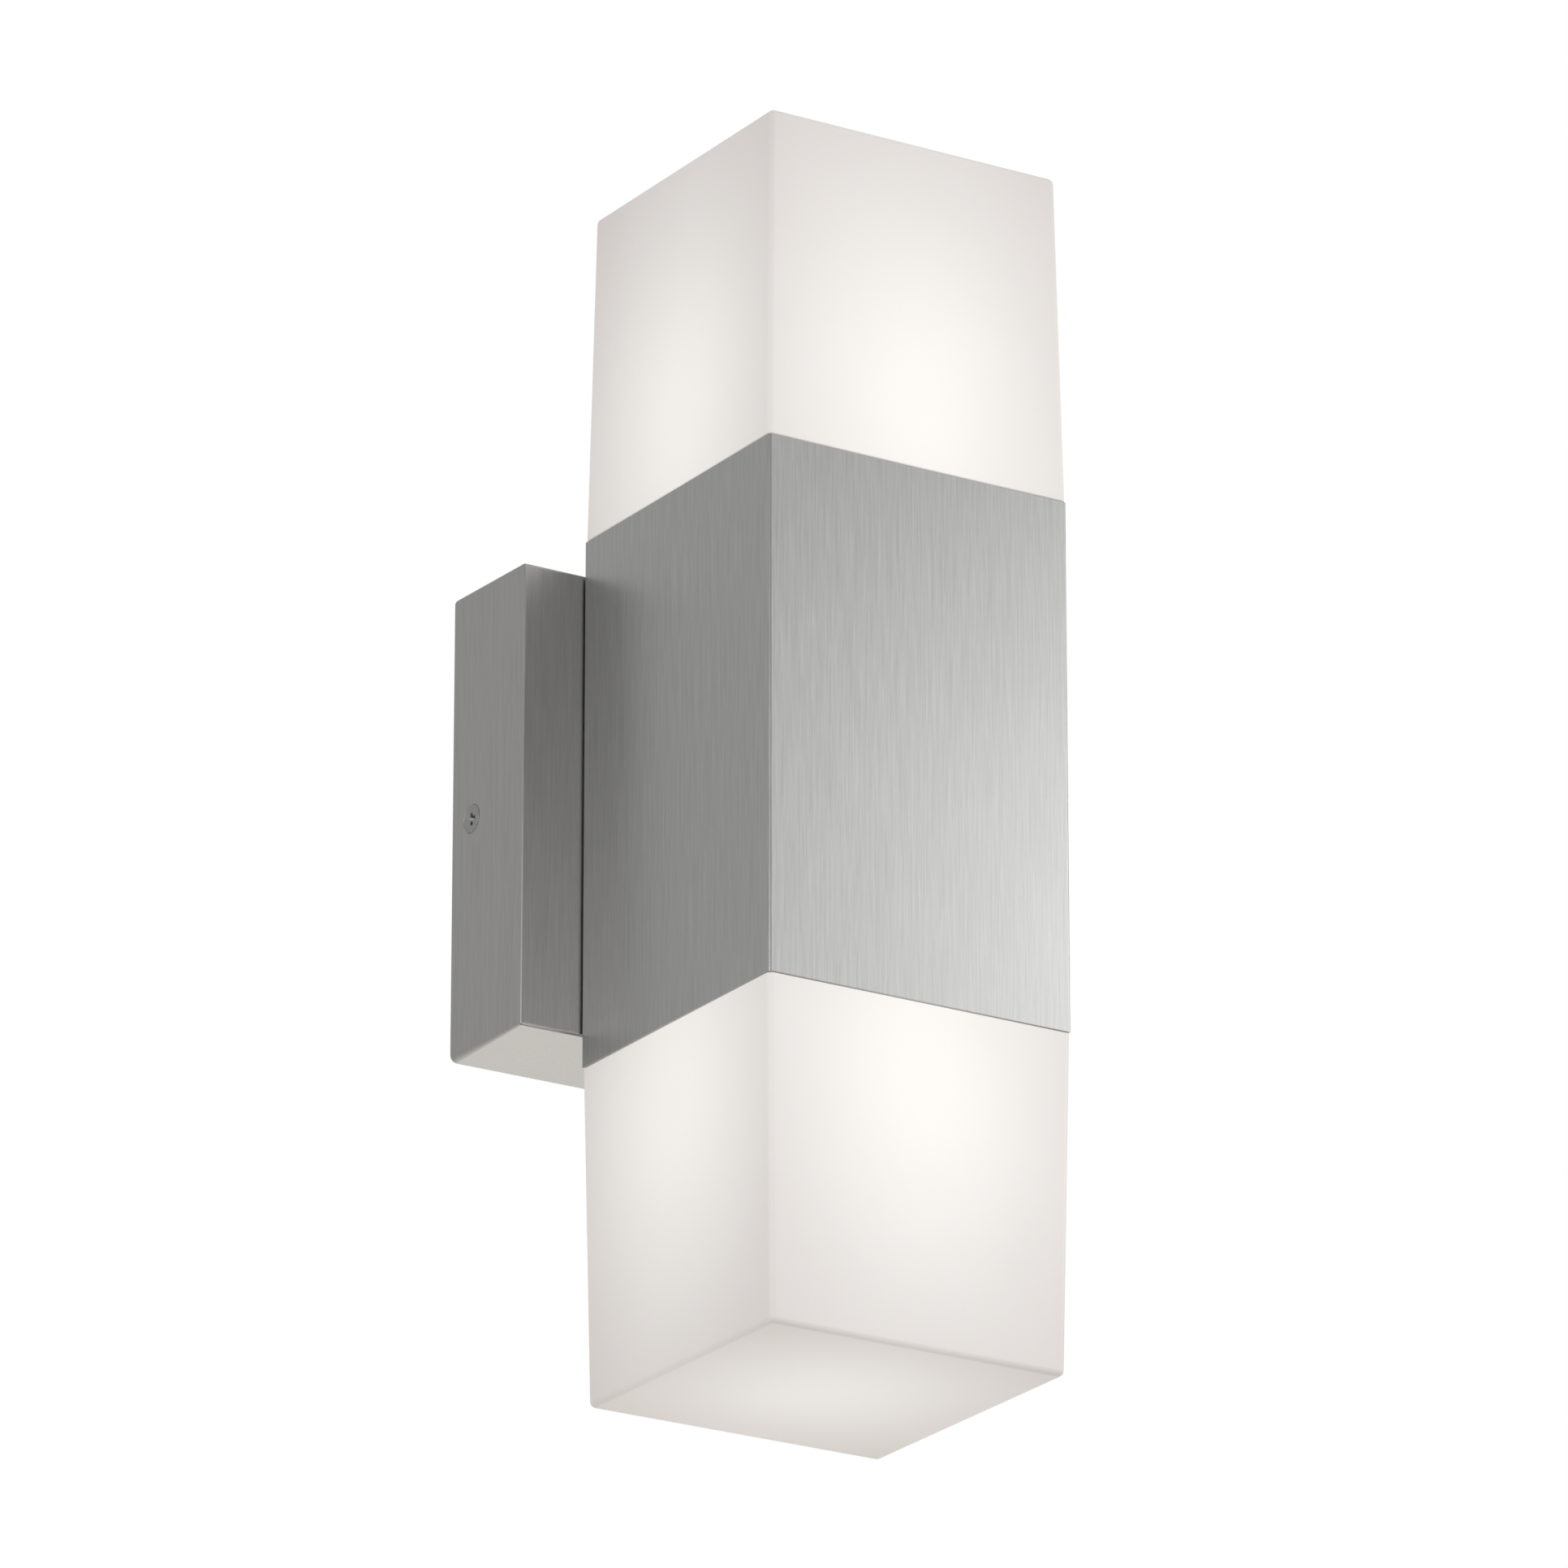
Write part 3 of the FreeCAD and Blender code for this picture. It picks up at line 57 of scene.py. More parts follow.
# ---- Camera, floor and light --------------------------------------------------------------
# The lantern hangs high on a wall and is looked up at from its left front.  It shares its
# space with soft boxes, pale surroundings and a floor far below it.

aim_off_centre = Vector((-0.0021, 0.0, 0.0065))
aim = (cad_low + cad_high) / 2 + aim_off_centre
camera_turn = math.radians(-32.1)
camera_rise = math.radians(-20.2)
camera_distance = 3.64
back = Vector((math.sin(camera_turn) * math.cos(camera_rise),
               -math.cos(camera_turn) * math.cos(camera_rise),
               math.sin(camera_rise)))
bpy.ops.object.camera_add(location=aim + back * camera_distance)
camera = bpy.context.object
camera.rotation_euler = (-back).to_track_quat("-Z", "Y").to_euler()
camera.data.sensor_width = 36
camera.data.lens = 256
camera.data.clip_end = 60
bpy.context.scene.camera = camera
bpy.context.scene.view_settings.view_transform = "Standard"

floor_drop = 4.0
floor_side = 9
bpy.ops.mesh.primitive_plane_add(size=floor_side, location=(0, 0, cad_low.z - floor_drop))
floor = bpy.context.object
floor.name = "floor"
floor_paint = bpy.data.materials.new("pale_floor")
floor_paint.use_nodes = True
floor_shader = floor_paint.node_tree.nodes["Principled BSDF"]
floor_shader.inputs["Base Color"].default_value = (0.72, 0.72, 0.71, 1)
floor_shader.inputs["Roughness"].default_value = 0.9
floor.data.materials.append(floor_paint)

# name, place from the aim, width, height, watts
soft_boxes = (
    ("front_box", (0.65, -0.56, 0.07), 0.60, 0.60, 1.62),
    ("left_box", (-0.48, -0.48, -0.08), 0.40, 0.36, 0.85),
    ("top_box", (0.10, -0.60, 1.60), 0.90, 0.90, 2.0),
)
for name, place, wide, high, watts in soft_boxes:
    bpy.ops.object.light_add(type="AREA", location=aim + Vector(place))
    box = bpy.context.object
    box.name = name
    box.data.shape = "RECTANGLE"
    box.data.size = wide
    box.data.size_y = high
    box.data.energy = watts
    box.visible_camera = False
    box.rotation_euler = Vector(place).to_track_quat("Z", "Y").to_euler()

# The surroundings look white.  They light the metal with a grey that is brightest from the
# wall side, from the right and from below.
world = bpy.data.worlds.new("studio")
bpy.context.scene.world = world
world.use_nodes = True
sky = world.node_tree
sky.nodes.clear()
sky_out = sky.nodes.new("ShaderNodeOutputWorld")
seen = sky.nodes.new("ShaderNodeBackground")
seen.inputs["Color"].default_value = (1, 1, 1, 1)
lighting = sky.nodes.new("ShaderNodeBackground")
lighting.inputs["Strength"].default_value = 1.0
which = sky.nodes.new("ShaderNodeMixShader")
path = sky.nodes.new("ShaderNodeLightPath")
where = sky.nodes.new("ShaderNodeTexCoord")
brighter = sky.nodes.new("ShaderNodeVectorMath")
brighter.operation = "DOT_PRODUCT"
brightest_towards = (0.50, 0.80, -0.33)
brighter.inputs[1].default_value = brightest_towards
spread = sky.nodes.new("ShaderNodeMapRange")
spread.inputs["From Min"].default_value = -1
spread.inputs["From Max"].default_value = 1
tone = sky.nodes.new("ShaderNodeValToRGB")
tone.color_ramp.elements[0].color = (0.36, 0.36, 0.365, 1)
tone.color_ramp.elements[1].color = (1.18, 1.15, 1.09, 1)
for position, level in ((0.24, 0.50), (0.76, 0.46)):
    tone.color_ramp.elements.new(position).color = (level, level, 0.995 * level, 1)
sky.links.new(where.outputs["Generated"], brighter.inputs[0])
sky.links.new(brighter.outputs["Value"], spread.inputs["Value"])
sky.links.new(spread.outputs["Result"], tone.inputs["Fac"])
sky.links.new(tone.outputs["Color"], lighting.inputs["Color"])
sky.links.new(path.outputs["Is Camera Ray"], which.inputs["Fac"])
sky.links.new(lighting.outputs["Background"], which.inputs[1])
sky.links.new(seen.outputs["Background"], which.inputs[2])
sky.links.new(which.outputs["Shader"], sky_out.inputs["Surface"])

# ---- Tube ---------------------------------------------------------------------------------
# A square aluminium extrusion, brushed along its length and clear lacquered.  Its sawn ends
# are barely broken, and each inside corner has a port for a shade holder's screw.


def work_on(*pieces):
    """Leave edit mode and select these pieces only; the first is the active one."""
    if bpy.context.mode != "OBJECT":
        bpy.ops.object.mode_set(mode="OBJECT")
    bpy.ops.object.select_all(action="DESELECT")
    for piece in pieces:
        piece.select_set(True)
    if pieces:
        bpy.context.view_layer.objects.active = pieces[0]


def block(name, first, second):
    """A box between two opposite corners, with its place in its mesh."""
    low = Vector(map(min, first, second))
    high = Vector(map(max, first, second))
    work_on()
    bpy.ops.mesh.primitive_cube_add(size=1, location=(low + high) / 2)
    piece = bpy.context.object
    piece.name = name
    piece.data.name = name
    piece.scale = high - low
    bpy.ops.object.transform_apply(location=True, rotation=True, scale=True)
    return piece


def rod(start, end, radius, sides=48, end_radius=None):
    """A round bar or cone from one point to another, with its place in its mesh."""
    span = end - start
    work_on()
    bpy.ops.mesh.primitive_cone_add(vertices=sides, radius1=radius, depth=span.length,
                                    radius2=radius if end_radius is None else end_radius,
                                    location=(start + end) / 2,
                                    rotation=span.to_track_quat("Z", "Y").to_euler())
    bpy.ops.object.transform_apply(location=True, rotation=True, scale=True)
    return bpy.context.object


def pick(piece, kind, test):
    """Edit a piece with only the faces, edges or verts whose middle passes the test selected."""
    work_on(piece)
    bpy.ops.object.mode_set(mode="EDIT")
    bpy.ops.mesh.select_mode(type=kind)
    bpy.ops.mesh.select_all(action="DESELECT")
    bpy.ops.object.mode_set(mode="OBJECT")
    mesh = piece.data
    for item in {"FACE": mesh.polygons, "EDGE": mesh.edges, "VERT": mesh.vertices}[kind]:
        if kind == "VERT":
            middle = item.co
        elif kind == "EDGE":
            middle = (mesh.vertices[item.vertices[0]].co + mesh.vertices[item.vertices[1]].co) / 2
        else:
            middle = item.center
        item.select = bool(test(middle, item))
    bpy.ops.object.mode_set(mode="EDIT")


# Places closer together than a hair count as one.  The axes go by their number.
hair = 1e-5
along_y = 1
along_z = 2


def runs_along(piece, edge, axis):
    """Whether an edge runs along an axis, give or take a draft."""
    first, second = (piece.data.vertices[number].co for number in edge.vertices)
    return abs((first - second)[axis]) > 0.95 * (first - second).length


def finish_mesh(piece, kind, **settings):
    """Add a modifier, set it and apply it."""
    work_on(piece)
    modifier = piece.modifiers.new(kind.lower(), kind)
    for key, value in settings.items():
        setattr(modifier, key, value)
    bpy.ops.object.modifier_apply(modifier=modifier.name)


def carve(piece, tool, operation="DIFFERENCE"):
    """Take a tool's volume out of a piece, or add it, and throw the tool away."""
    finish_mesh(piece, "BOOLEAN", operation=operation, object=tool, solver="EXACT")
    bpy.data.objects.remove(tool)


def smooth(piece, angle=35):
    """Shade round edges smooth and keep the flat faces flat."""
    work_on(piece)
    bpy.ops.object.shade_smooth_by_angle(angle=math.radians(angle))
    finish_mesh(piece, "WEIGHTED_NORMAL", keep_sharp=True, weight=100)


def add_node(tree, kind, operation=None, **values):
    """A shader node with some of its inputs set, named with _ for spaces."""
    node = tree.nodes.new("ShaderNode" + kind)
    if operation:
        node.operation = operation
    for label, value in values.items():
        node.inputs[label.replace("_", " ")].default_value = value
    return node


def finish_group(name, *extra):
    """A node group with the sockets that every finish shares, and its two end nodes."""
    group = bpy.data.node_groups.new(name, "ShaderNodeTree")
    wanted = (("Vector", "Vector", (0, 0, 0)), ("Scale", "Vector", (1, 1, 1)),
              ("Dark", "Color", (0.4, 0.4, 0.4, 1)), ("Light", "Color", (0.6, 0.6, 0.6, 1)),
              ("Smoothest", "Float", 0.25), ("Roughest", "Float", 0.4)) + extra
    for label, kind, value in wanted:
        socket = group.interface.new_socket(label, in_out="INPUT",
                                            socket_type="NodeSocket" + kind)
        socket.default_value = value
    for label, kind in (("Color", "Color"), ("Roughness", "Float"), ("Height", "Float"),
                        ("Glow", "Color")):
        group.interface.new_socket(label, in_out="OUTPUT", socket_type="NodeSocket" + kind)
    entry = group.nodes.new("NodeGroupInput")
    leave = group.nodes.new("NodeGroupOutput")
    stretched = add_node(group, "VectorMath", "MULTIPLY")
    group.links.new(entry.outputs["Vector"], stretched.inputs[0])
    group.links.new(entry.outputs["Scale"], stretched.inputs[1])
    return group, entry, leave, stretched.outputs["Vector"]


def between_colours(tree, share, low, high, target):
    """Lead a mix of two colour sockets to a target socket."""
    mix = tree.nodes.new("ShaderNodeMix")
    mix.data_type = "RGBA"
    tree.links.new(share, mix.inputs["Factor"])
    tree.links.new(low, mix.inputs[6])
    tree.links.new(high, mix.inputs[7])
    tree.links.new(mix.outputs[2], target)


def between_numbers(tree, share, low, high, target):
    """Lead a blend of two number sockets to a target socket."""
    blend = tree.nodes.new("ShaderNodeMapRange")
    tree.links.new(share, blend.inputs["Value"])
    tree.links.new(low, blend.inputs["To Min"])
    tree.links.new(high, blend.inputs["To Max"])
    tree.links.new(blend.outputs["Result"], target)


# Brushed grain: fine scratches and wider streaks that run the way the belt went.
wide_weight = 0.8
brushing, entry, leave, along_grain = finish_group("brushing")
fine = add_node(brushing, "TexNoise", Scale=1.0, Detail=3.0, Roughness=0.7)
wide = add_node(brushing, "TexNoise", Scale=0.35, Detail=2.0, Roughness=0.5)
cloud = add_node(brushing, "TexNoise", Scale=9.0, Detail=2.0)
brushing.links.new(along_grain, fine.inputs["Vector"])
brushing.links.new(along_grain, wide.inputs["Vector"])
brushing.links.new(entry.outputs["Vector"], cloud.inputs["Vector"])
both = add_node(brushing, "Math", "MULTIPLY_ADD")
both.inputs[1].default_value = wide_weight
brushing.links.new(wide.outputs["Fac"], both.inputs[0])
brushing.links.new(fine.outputs["Fac"], both.inputs[2])
streak = add_node(brushing, "MapRange", From_Min=0.60, From_Max=1.20)
brushing.links.new(both.outputs["Value"], streak.inputs["Value"])
hazy = add_node(brushing, "Math", "ADD")
brushing.links.new(cloud.outputs["Fac"], hazy.inputs[0])
brushing.links.new(streak.outputs["Result"], hazy.inputs[1])
halved = add_node(brushing, "Math", "MULTIPLY")
halved.inputs[1].default_value = 0.5
brushing.links.new(hazy.outputs["Value"], halved.inputs[0])
between_colours(brushing, streak.outputs["Result"], entry.outputs["Dark"],
                entry.outputs["Light"], leave.inputs["Color"])
between_numbers(brushing, halved.outputs["Value"], entry.outputs["Smoothest"],
                entry.outputs["Roughest"], leave.inputs["Roughness"])
brushing.links.new(streak.outputs["Result"], leave.inputs["Height"])


def finish_of(name, group, dark, light, smoothest, roughest, scale=(1, 1, 1), depth=0.0,
              glow=None, **constants):
    """A material with one finish group; depth is that of its bump in metres."""
    material = bpy.data.materials.new(name)
    material.use_nodes = True
    tree = material.node_tree
    shader = tree.nodes["Principled BSDF"]
    for label, value in constants.items():
        shader.inputs[label.replace("_", " ")].default_value = value
    effect = tree.nodes.new("ShaderNodeGroup")
    effect.node_tree = group
    values = {"Dark": (*dark, 1), "Light": (*light, 1), "Smoothest": smoothest,
              "Roughest": roughest, "Scale": scale, **(glow or {})}
    for label, value in values.items():
        effect.inputs[label].default_value = value
    place = tree.nodes.new("ShaderNodeTexCoord")
    tree.links.new(place.outputs["Object"], effect.inputs["Vector"])
    tree.links.new(effect.outputs["Color"], shader.inputs["Base Color"])
    tree.links.new(effect.outputs["Roughness"], shader.inputs["Roughness"])
    if glow:
        tree.links.new(effect.outputs["Glow"], shader.inputs["Emission Color"])
    if depth:
        bump = add_node(tree, "Bump", Distance=depth, Strength=1.0)
        tree.links.new(effect.outputs["Height"], bump.inputs["Height"])
        tree.links.new(bump.outputs["Normal"], shader.inputs["Normal"])
    return material


def dress(material, *pieces):
    """Give whole pieces one material."""
    for piece in pieces:
        if not piece.data.materials:
            piece.data.materials.append(material)
        for holder in piece.material_slots:
            holder.material = material


tube_low, tube_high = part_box("body_tube")
middle_y = (tube_low.y + tube_high.y) / 2
tube_wall = 0.0022
front_corner = 0.0010
rear_corner = 0.0005
sawn_edge = 0.0003
past_ends = 0.2
tube = block("square_tube", tube_low, tube_high)
pick(tube, "EDGE", lambda at, edge: runs_along(tube, edge, along_z) and at.y < middle_y)
bpy.ops.mesh.bevel(offset=front_corner, segments=6)
pick(tube, "EDGE", lambda at, edge: runs_along(tube, edge, along_z)
     and at.y > tube_high.y - hair)
bpy.ops.mesh.bevel(offset=rear_corner, segments=4)
pick(tube, "EDGE", lambda at, edge: abs(at.z) > tube_high.z - hair
     and not runs_along(tube, edge, along_z))
bpy.ops.mesh.bevel(offset=sawn_edge, segments=2)
inside = tube_high.x - tube_wall
carve(tube, block("hollow", (-inside, middle_y - inside, -past_ends),
                  (inside, middle_y + inside, past_ends)))

# Square screw ports, which stop short of both ends where the shade holders sit.
port_side = 0.009
port_bite = 0.0008
port_drill = 0.00205
holder_plate = 0.003
port_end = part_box("upper_shade_holder")[1].z - holder_plate
for across in (-1, 1):
    for out in (-1, 1):
        near = inside - port_side
        far = inside + port_bite
        carve(tube, block("port", (across * near, middle_y + out * near, -port_end),
                          (across * far, middle_y + out * far, port_end)), "UNION")
        axis_at = inside - port_side / 2
        drill_at = Vector((across * axis_at, middle_y + out * axis_at, 0))
        carve(tube, rod(drill_at - Vector((0, 0, past_ends)),
                        drill_at + Vector((0, 0, past_ends)), port_drill, 24))

# Rear wall: the wire nipple, a screw above and below it, and the lamp bridge's two screws.
nipple_hole = 0.00525
tube_screw_hole = 0.00275
bridge_screw_hole = 0.00205
tube_screw_z = 0.055
bridge_screw_x = 0.015
rear_holes = ((0, 0, nipple_hole),
              (0, tube_screw_z, tube_screw_hole), (0, -tube_screw_z, tube_screw_hole),
              (bridge_screw_x, 0, bridge_screw_hole), (-bridge_screw_x, 0, bridge_screw_hole))
half_drill = 0.01
for x, z, radius in rear_holes:
    carve(tube, rod(Vector((x, tube_high.y - half_drill, z)),
                    Vector((x, tube_high.y + half_drill, z)), radius, 32))
smooth(tube)
dress(finish_of("brushed_tube", brushing, (0.485, 0.485, 0.48), (0.64, 0.64, 0.635), 0.28, 0.42,
                scale=(4200, 4200, 75), depth=0.000004, Metallic=1.0), tube)
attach(tube, "housing")
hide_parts("body_tube")

# ---- Canopy -------------------------------------------------------------------------------
# A brushed aluminium pan that hides the junction box and the wiring.  It widens a little
# towards the wall, where its corners are rounder, and a screw in each side holds it.

canopy_low, canopy_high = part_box("canopy")
canopy_front_wide = 0.160
canopy_rear_wide = 0.162
front_share = canopy_front_wide / canopy_rear_wide
canopy_wall = 0.0025
front_round = 0.0010
rear_round = 0.0025

# The tool for the hollow runs on past the rear edge, and so comes out a little wider there.
past_rear = 0.01
flare_past_rear = 0.00012


def pan(name, half, front_y, rear_y):
    """A block on the wall side whose front is smaller by the canopy's draft."""
    piece = block(name, (-half, front_y, -half), (half, rear_y, half))
    pick(piece, "FACE", lambda at, face: face.normal.y < -0.9)
    share = 1 - (1 - front_share) * (rear_y - front_y) / (canopy_high.y - canopy_low.y)
    bpy.ops.transform.resize(value=(share, 1, share), center_override=(0, front_y, 0))
    return piece


canopy = pan("canopy_pan", canopy_high.x, canopy_low.y, canopy_high.y)
pick(canopy, "EDGE", lambda at, edge: runs_along(canopy, edge, along_y))
bpy.ops.mesh.bevel(offset=front_round, segments=6)
for across in (-1, 1):
    for up in (-1, 1):
        near_corner = canopy_high.x - 2 * front_round
        pick(canopy, "VERT", lambda at, vert: at.y > canopy_high.y - hair
             and at.x * across > near_corner and at.z * up > near_corner)
        bpy.ops.transform.resize(value=(rear_round / front_round, 1, rear_round / front_round),
                                 center_override=(across * canopy_high.x, 0, up * canopy_high.z))
pick(canopy, "EDGE", lambda at, edge: at.y < canopy_low.y + hair)
bpy.ops.mesh.bevel(offset=0.9 * front_round, segments=5)
carve(canopy, pan("hollow", canopy_high.x - canopy_wall + flare_past_rear,
                  canopy_low.y + canopy_wall, past_rear))
for x, z, radius in rear_holes:
    carve(canopy, rod(Vector((x, canopy_low.y - half_drill, z)),
                      Vector((x, canopy_low.y + half_drill, z)),
                      max(radius, tube_screw_hole), 32))

# Countersunk hole in each side for the side screws, right through the wall.
screw_low, screw_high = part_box("side_screws")
screw_y = (screw_low.y + screw_high.y) / 2
head_radius = (screw_high.y - screw_low.y) / 2
face_x = screw_high.x
tool_proud = 0.001  # how far a tool starts outside the surface that it cuts
head_play = 0.0002
for across in (-1, 1):
    carve(canopy, rod(Vector((across * (face_x + tool_proud), screw_y, 0)),
                      Vector((across * (face_x - head_radius - head_play), screw_y, 0)),
                      head_radius + tool_proud + head_play, 64, end_radius=0.0))
smooth(canopy)
dress(finish_of("brushed_canopy", brushing, (0.46, 0.455, 0.447), (0.56, 0.555, 0.547),
                0.28, 0.40, scale=(4000, 4000, 90), depth=0.000002, Metallic=1.0), canopy)
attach(canopy, "housing")
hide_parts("canopy")

# ---- Side screws --------------------------------------------------------------------------
# Two stainless flat-head machine screws that pull the canopy onto the wall bracket's ears.
# Their heads lie flush in the canopy's sides, and the cross recess narrows as it deepens.

head_land = 0.00016
shank_radius = 0.0024
shank_long = 0.0080
point_long = 0.0009
recess_arm = 0.60 * head_radius
recess_half = 0.17 * head_radius
recess_deep = 0.0019
arm_narrows = 0.35
half_narrows = 0.7
screws = []
for across in (-1, 1):
    work_on()
    bpy.ops.mesh.primitive_circle_add(vertices=64, radius=head_radius, fill_type="NGON",
                                      location=(across * face_x, screw_y, 0),
                                      rotation=(0, math.pi / 2, 0))
    bpy.ops.object.transform_apply(location=True, rotation=True, scale=True)
    screw = bpy.context.object
    screw.name = "side_screw"
    pick(screw, "FACE", lambda at, face: True)
    reached = face_x
    radius = head_radius
    for step, new_radius in ((head_land, head_radius),
                             (head_radius - shank_radius, shank_radius),
                             (shank_long, shank_radius), (point_long, 0.5 * shank_radius)):
        bpy.ops.mesh.extrude_region_move(
            TRANSFORM_OT_translate={"value": (-across * step, 0, 0)})
        reached -= step
        bpy.ops.transform.resize(value=(1, new_radius / radius, new_radius / radius),
                                 center_override=(across * reached, screw_y, 0))
        radius = new_radius
    bpy.ops.mesh.select_all(action="SELECT")
    bpy.ops.mesh.normals_make_consistent(inside=False)
    work_on()
    for half_y, half_z in ((recess_arm, recess_half), (recess_half, recess_arm)):
        bit = block("bit", (across * (face_x + tool_proud), screw_y - half_y, -half_z),
                    (across * (face_x - recess_deep), screw_y + half_y, half_z))
        pick(bit, "VERT", lambda at, vert: at.x * across < face_x)
        bpy.ops.transform.resize(value=(1, arm_narrows if half_y > half_z else half_narrows,
                                        arm_narrows if half_z > half_y else half_narrows),
                                 center_override=(across * face_x, screw_y, 0))
        carve(screw, bit)
    screws.append(screw)
work_on(*screws)
bpy.ops.object.join()
turned_screws = screws[0]
turned_screws.name = "flat_head_screws"
smooth(turned_screws, 30)
dress(finish_of("turned_steel", brushing, (0.38, 0.38, 0.38), (0.50, 0.50, 0.50), 0.22, 0.34,
                scale=(500, 500, 500), depth=0.000002, Metallic=1.0), turned_screws)
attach(turned_screws, "housing")
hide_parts("side_screws")

# ---- Glass shades -------------------------------------------------------------------------
# Two square jars of pressed opal glass, etched to a satin skin.  Each is slightly wider at
# its foot, and a threaded neck under its shoulder screws into a shade holder.

# Lit glass: a painted glow, an emission that stands in for the lamp's light coming through. It is
# strongest where the skin is nearest the globe, and weaker and warmer towards the corners.
# On the shades this glow is painted light; on the lamps' own globes it is the lamps' light.
# The etched skin is faintly cloudy.
glow_falloff = 1.7
lit_glass, entry, leave, at_scale = finish_group(
    "lit_glass", ("Lamp", "Vector", (0, 0, 0)), ("Near", "Float", 0.057),
    ("Bright", "Color", (1, 1, 1, 1)), ("Faint", "Color", (0.8, 0.7, 0.6, 1)))
from_lamp = add_node(lit_glass, "VectorMath", "SUBTRACT")
lit_glass.links.new(entry.outputs["Vector"], from_lamp.inputs[0])
lit_glass.links.new(entry.outputs["Lamp"], from_lamp.inputs[1])
along_lamp = add_node(lit_glass, "VectorMath", "MULTIPLY")
lit_glass.links.new(from_lamp.outputs["Vector"], along_lamp.inputs[0])
lit_glass.links.new(entry.outputs["Scale"], along_lamp.inputs[1])
reach = add_node(lit_glass, "VectorMath", "LENGTH")
lit_glass.links.new(along_lamp.outputs["Vector"], reach.inputs[0])
nearness = add_node(lit_glass, "Math", "DIVIDE")
lit_glass.links.new(entry.outputs["Near"], nearness.inputs[0])
lit_glass.links.new(reach.outputs["Value"], nearness.inputs[1])
falloff = add_node(lit_glass, "Math", "POWER")
falloff.inputs[1].default_value = glow_falloff
lit_glass.links.new(nearness.outputs["Value"], falloff.inputs[0])
between_colours(lit_glass, falloff.outputs["Value"], entry.outputs["Faint"],
                entry.outputs["Bright"], leave.inputs["Glow"])
cloudy = add_node(lit_glass, "TexNoise", Scale=30.0, Detail=3.0)
lit_glass.links.new(at_scale, cloudy.inputs["Vector"])
between_colours(lit_glass, cloudy.outputs["Fac"], entry.outputs["Dark"],
                entry.outputs["Light"], leave.inputs["Color"])
etch = add_node(lit_glass, "TexNoise", Scale=1800.0, Detail=2.0)
lit_glass.links.new(at_scale, etch.inputs["Vector"])
between_numbers(lit_glass, etch.outputs["Fac"], entry.outputs["Smoothest"],
                entry.outputs["Roughest"], leave.inputs["Roughness"])
lit_glass.links.new(etch.outputs["Fac"], leave.inputs["Height"])

shade_seat = 0.09165
shade_tip = cad_high.z
foot_half = tube_high.x
jar_draft = 0.00197
tip_half = foot_half - jar_draft
outer_round = 0.0020
foot_break = 0.0004
glass_wall = 0.004
glass_end = 0.005
cavity_round = 0.0025
cavity_foot_round = 0.0010
neck_radius = 0.0428
neck_bore = 0.040
neck_long = 0.012
overlap = 0.001
ridge_radius = 0.0012
ridge_sunk = 0.0001
ridge_turn = 350
ridge_climb = 0.0055
ridge_start = 0.0095
ridge_steps = 96
# Where the shades' painted glow is centred, this far in from the far end of the lamp globe.
painted_glow_from_tip = 0.040


def jar(name, up, foot, tip, foot_wide, tip_wide, rounding, foot_rounding):
    """A drafted square block on the lamp axis with soft edges."""
    piece = block(name, (-foot_wide, middle_y - foot_wide, up * foot),
                  (foot_wide, middle_y + foot_wide, up * tip))
    pick(piece, "FACE", lambda at, face: face.normal.z * up > 0.9)
    bpy.ops.transform.resize(value=(tip_wide / foot_wide, tip_wide / foot_wide, 1),
                             center_override=(0, middle_y, up * tip))
    pick(piece, "EDGE", lambda at, edge: at.z * up > foot + hair)
    bpy.ops.mesh.bevel(offset=rounding, segments=6)
    pick(piece, "EDGE", lambda at, edge: at.z * up < foot + hair)
    bpy.ops.mesh.bevel(offset=foot_rounding, segments=2)
    return piece


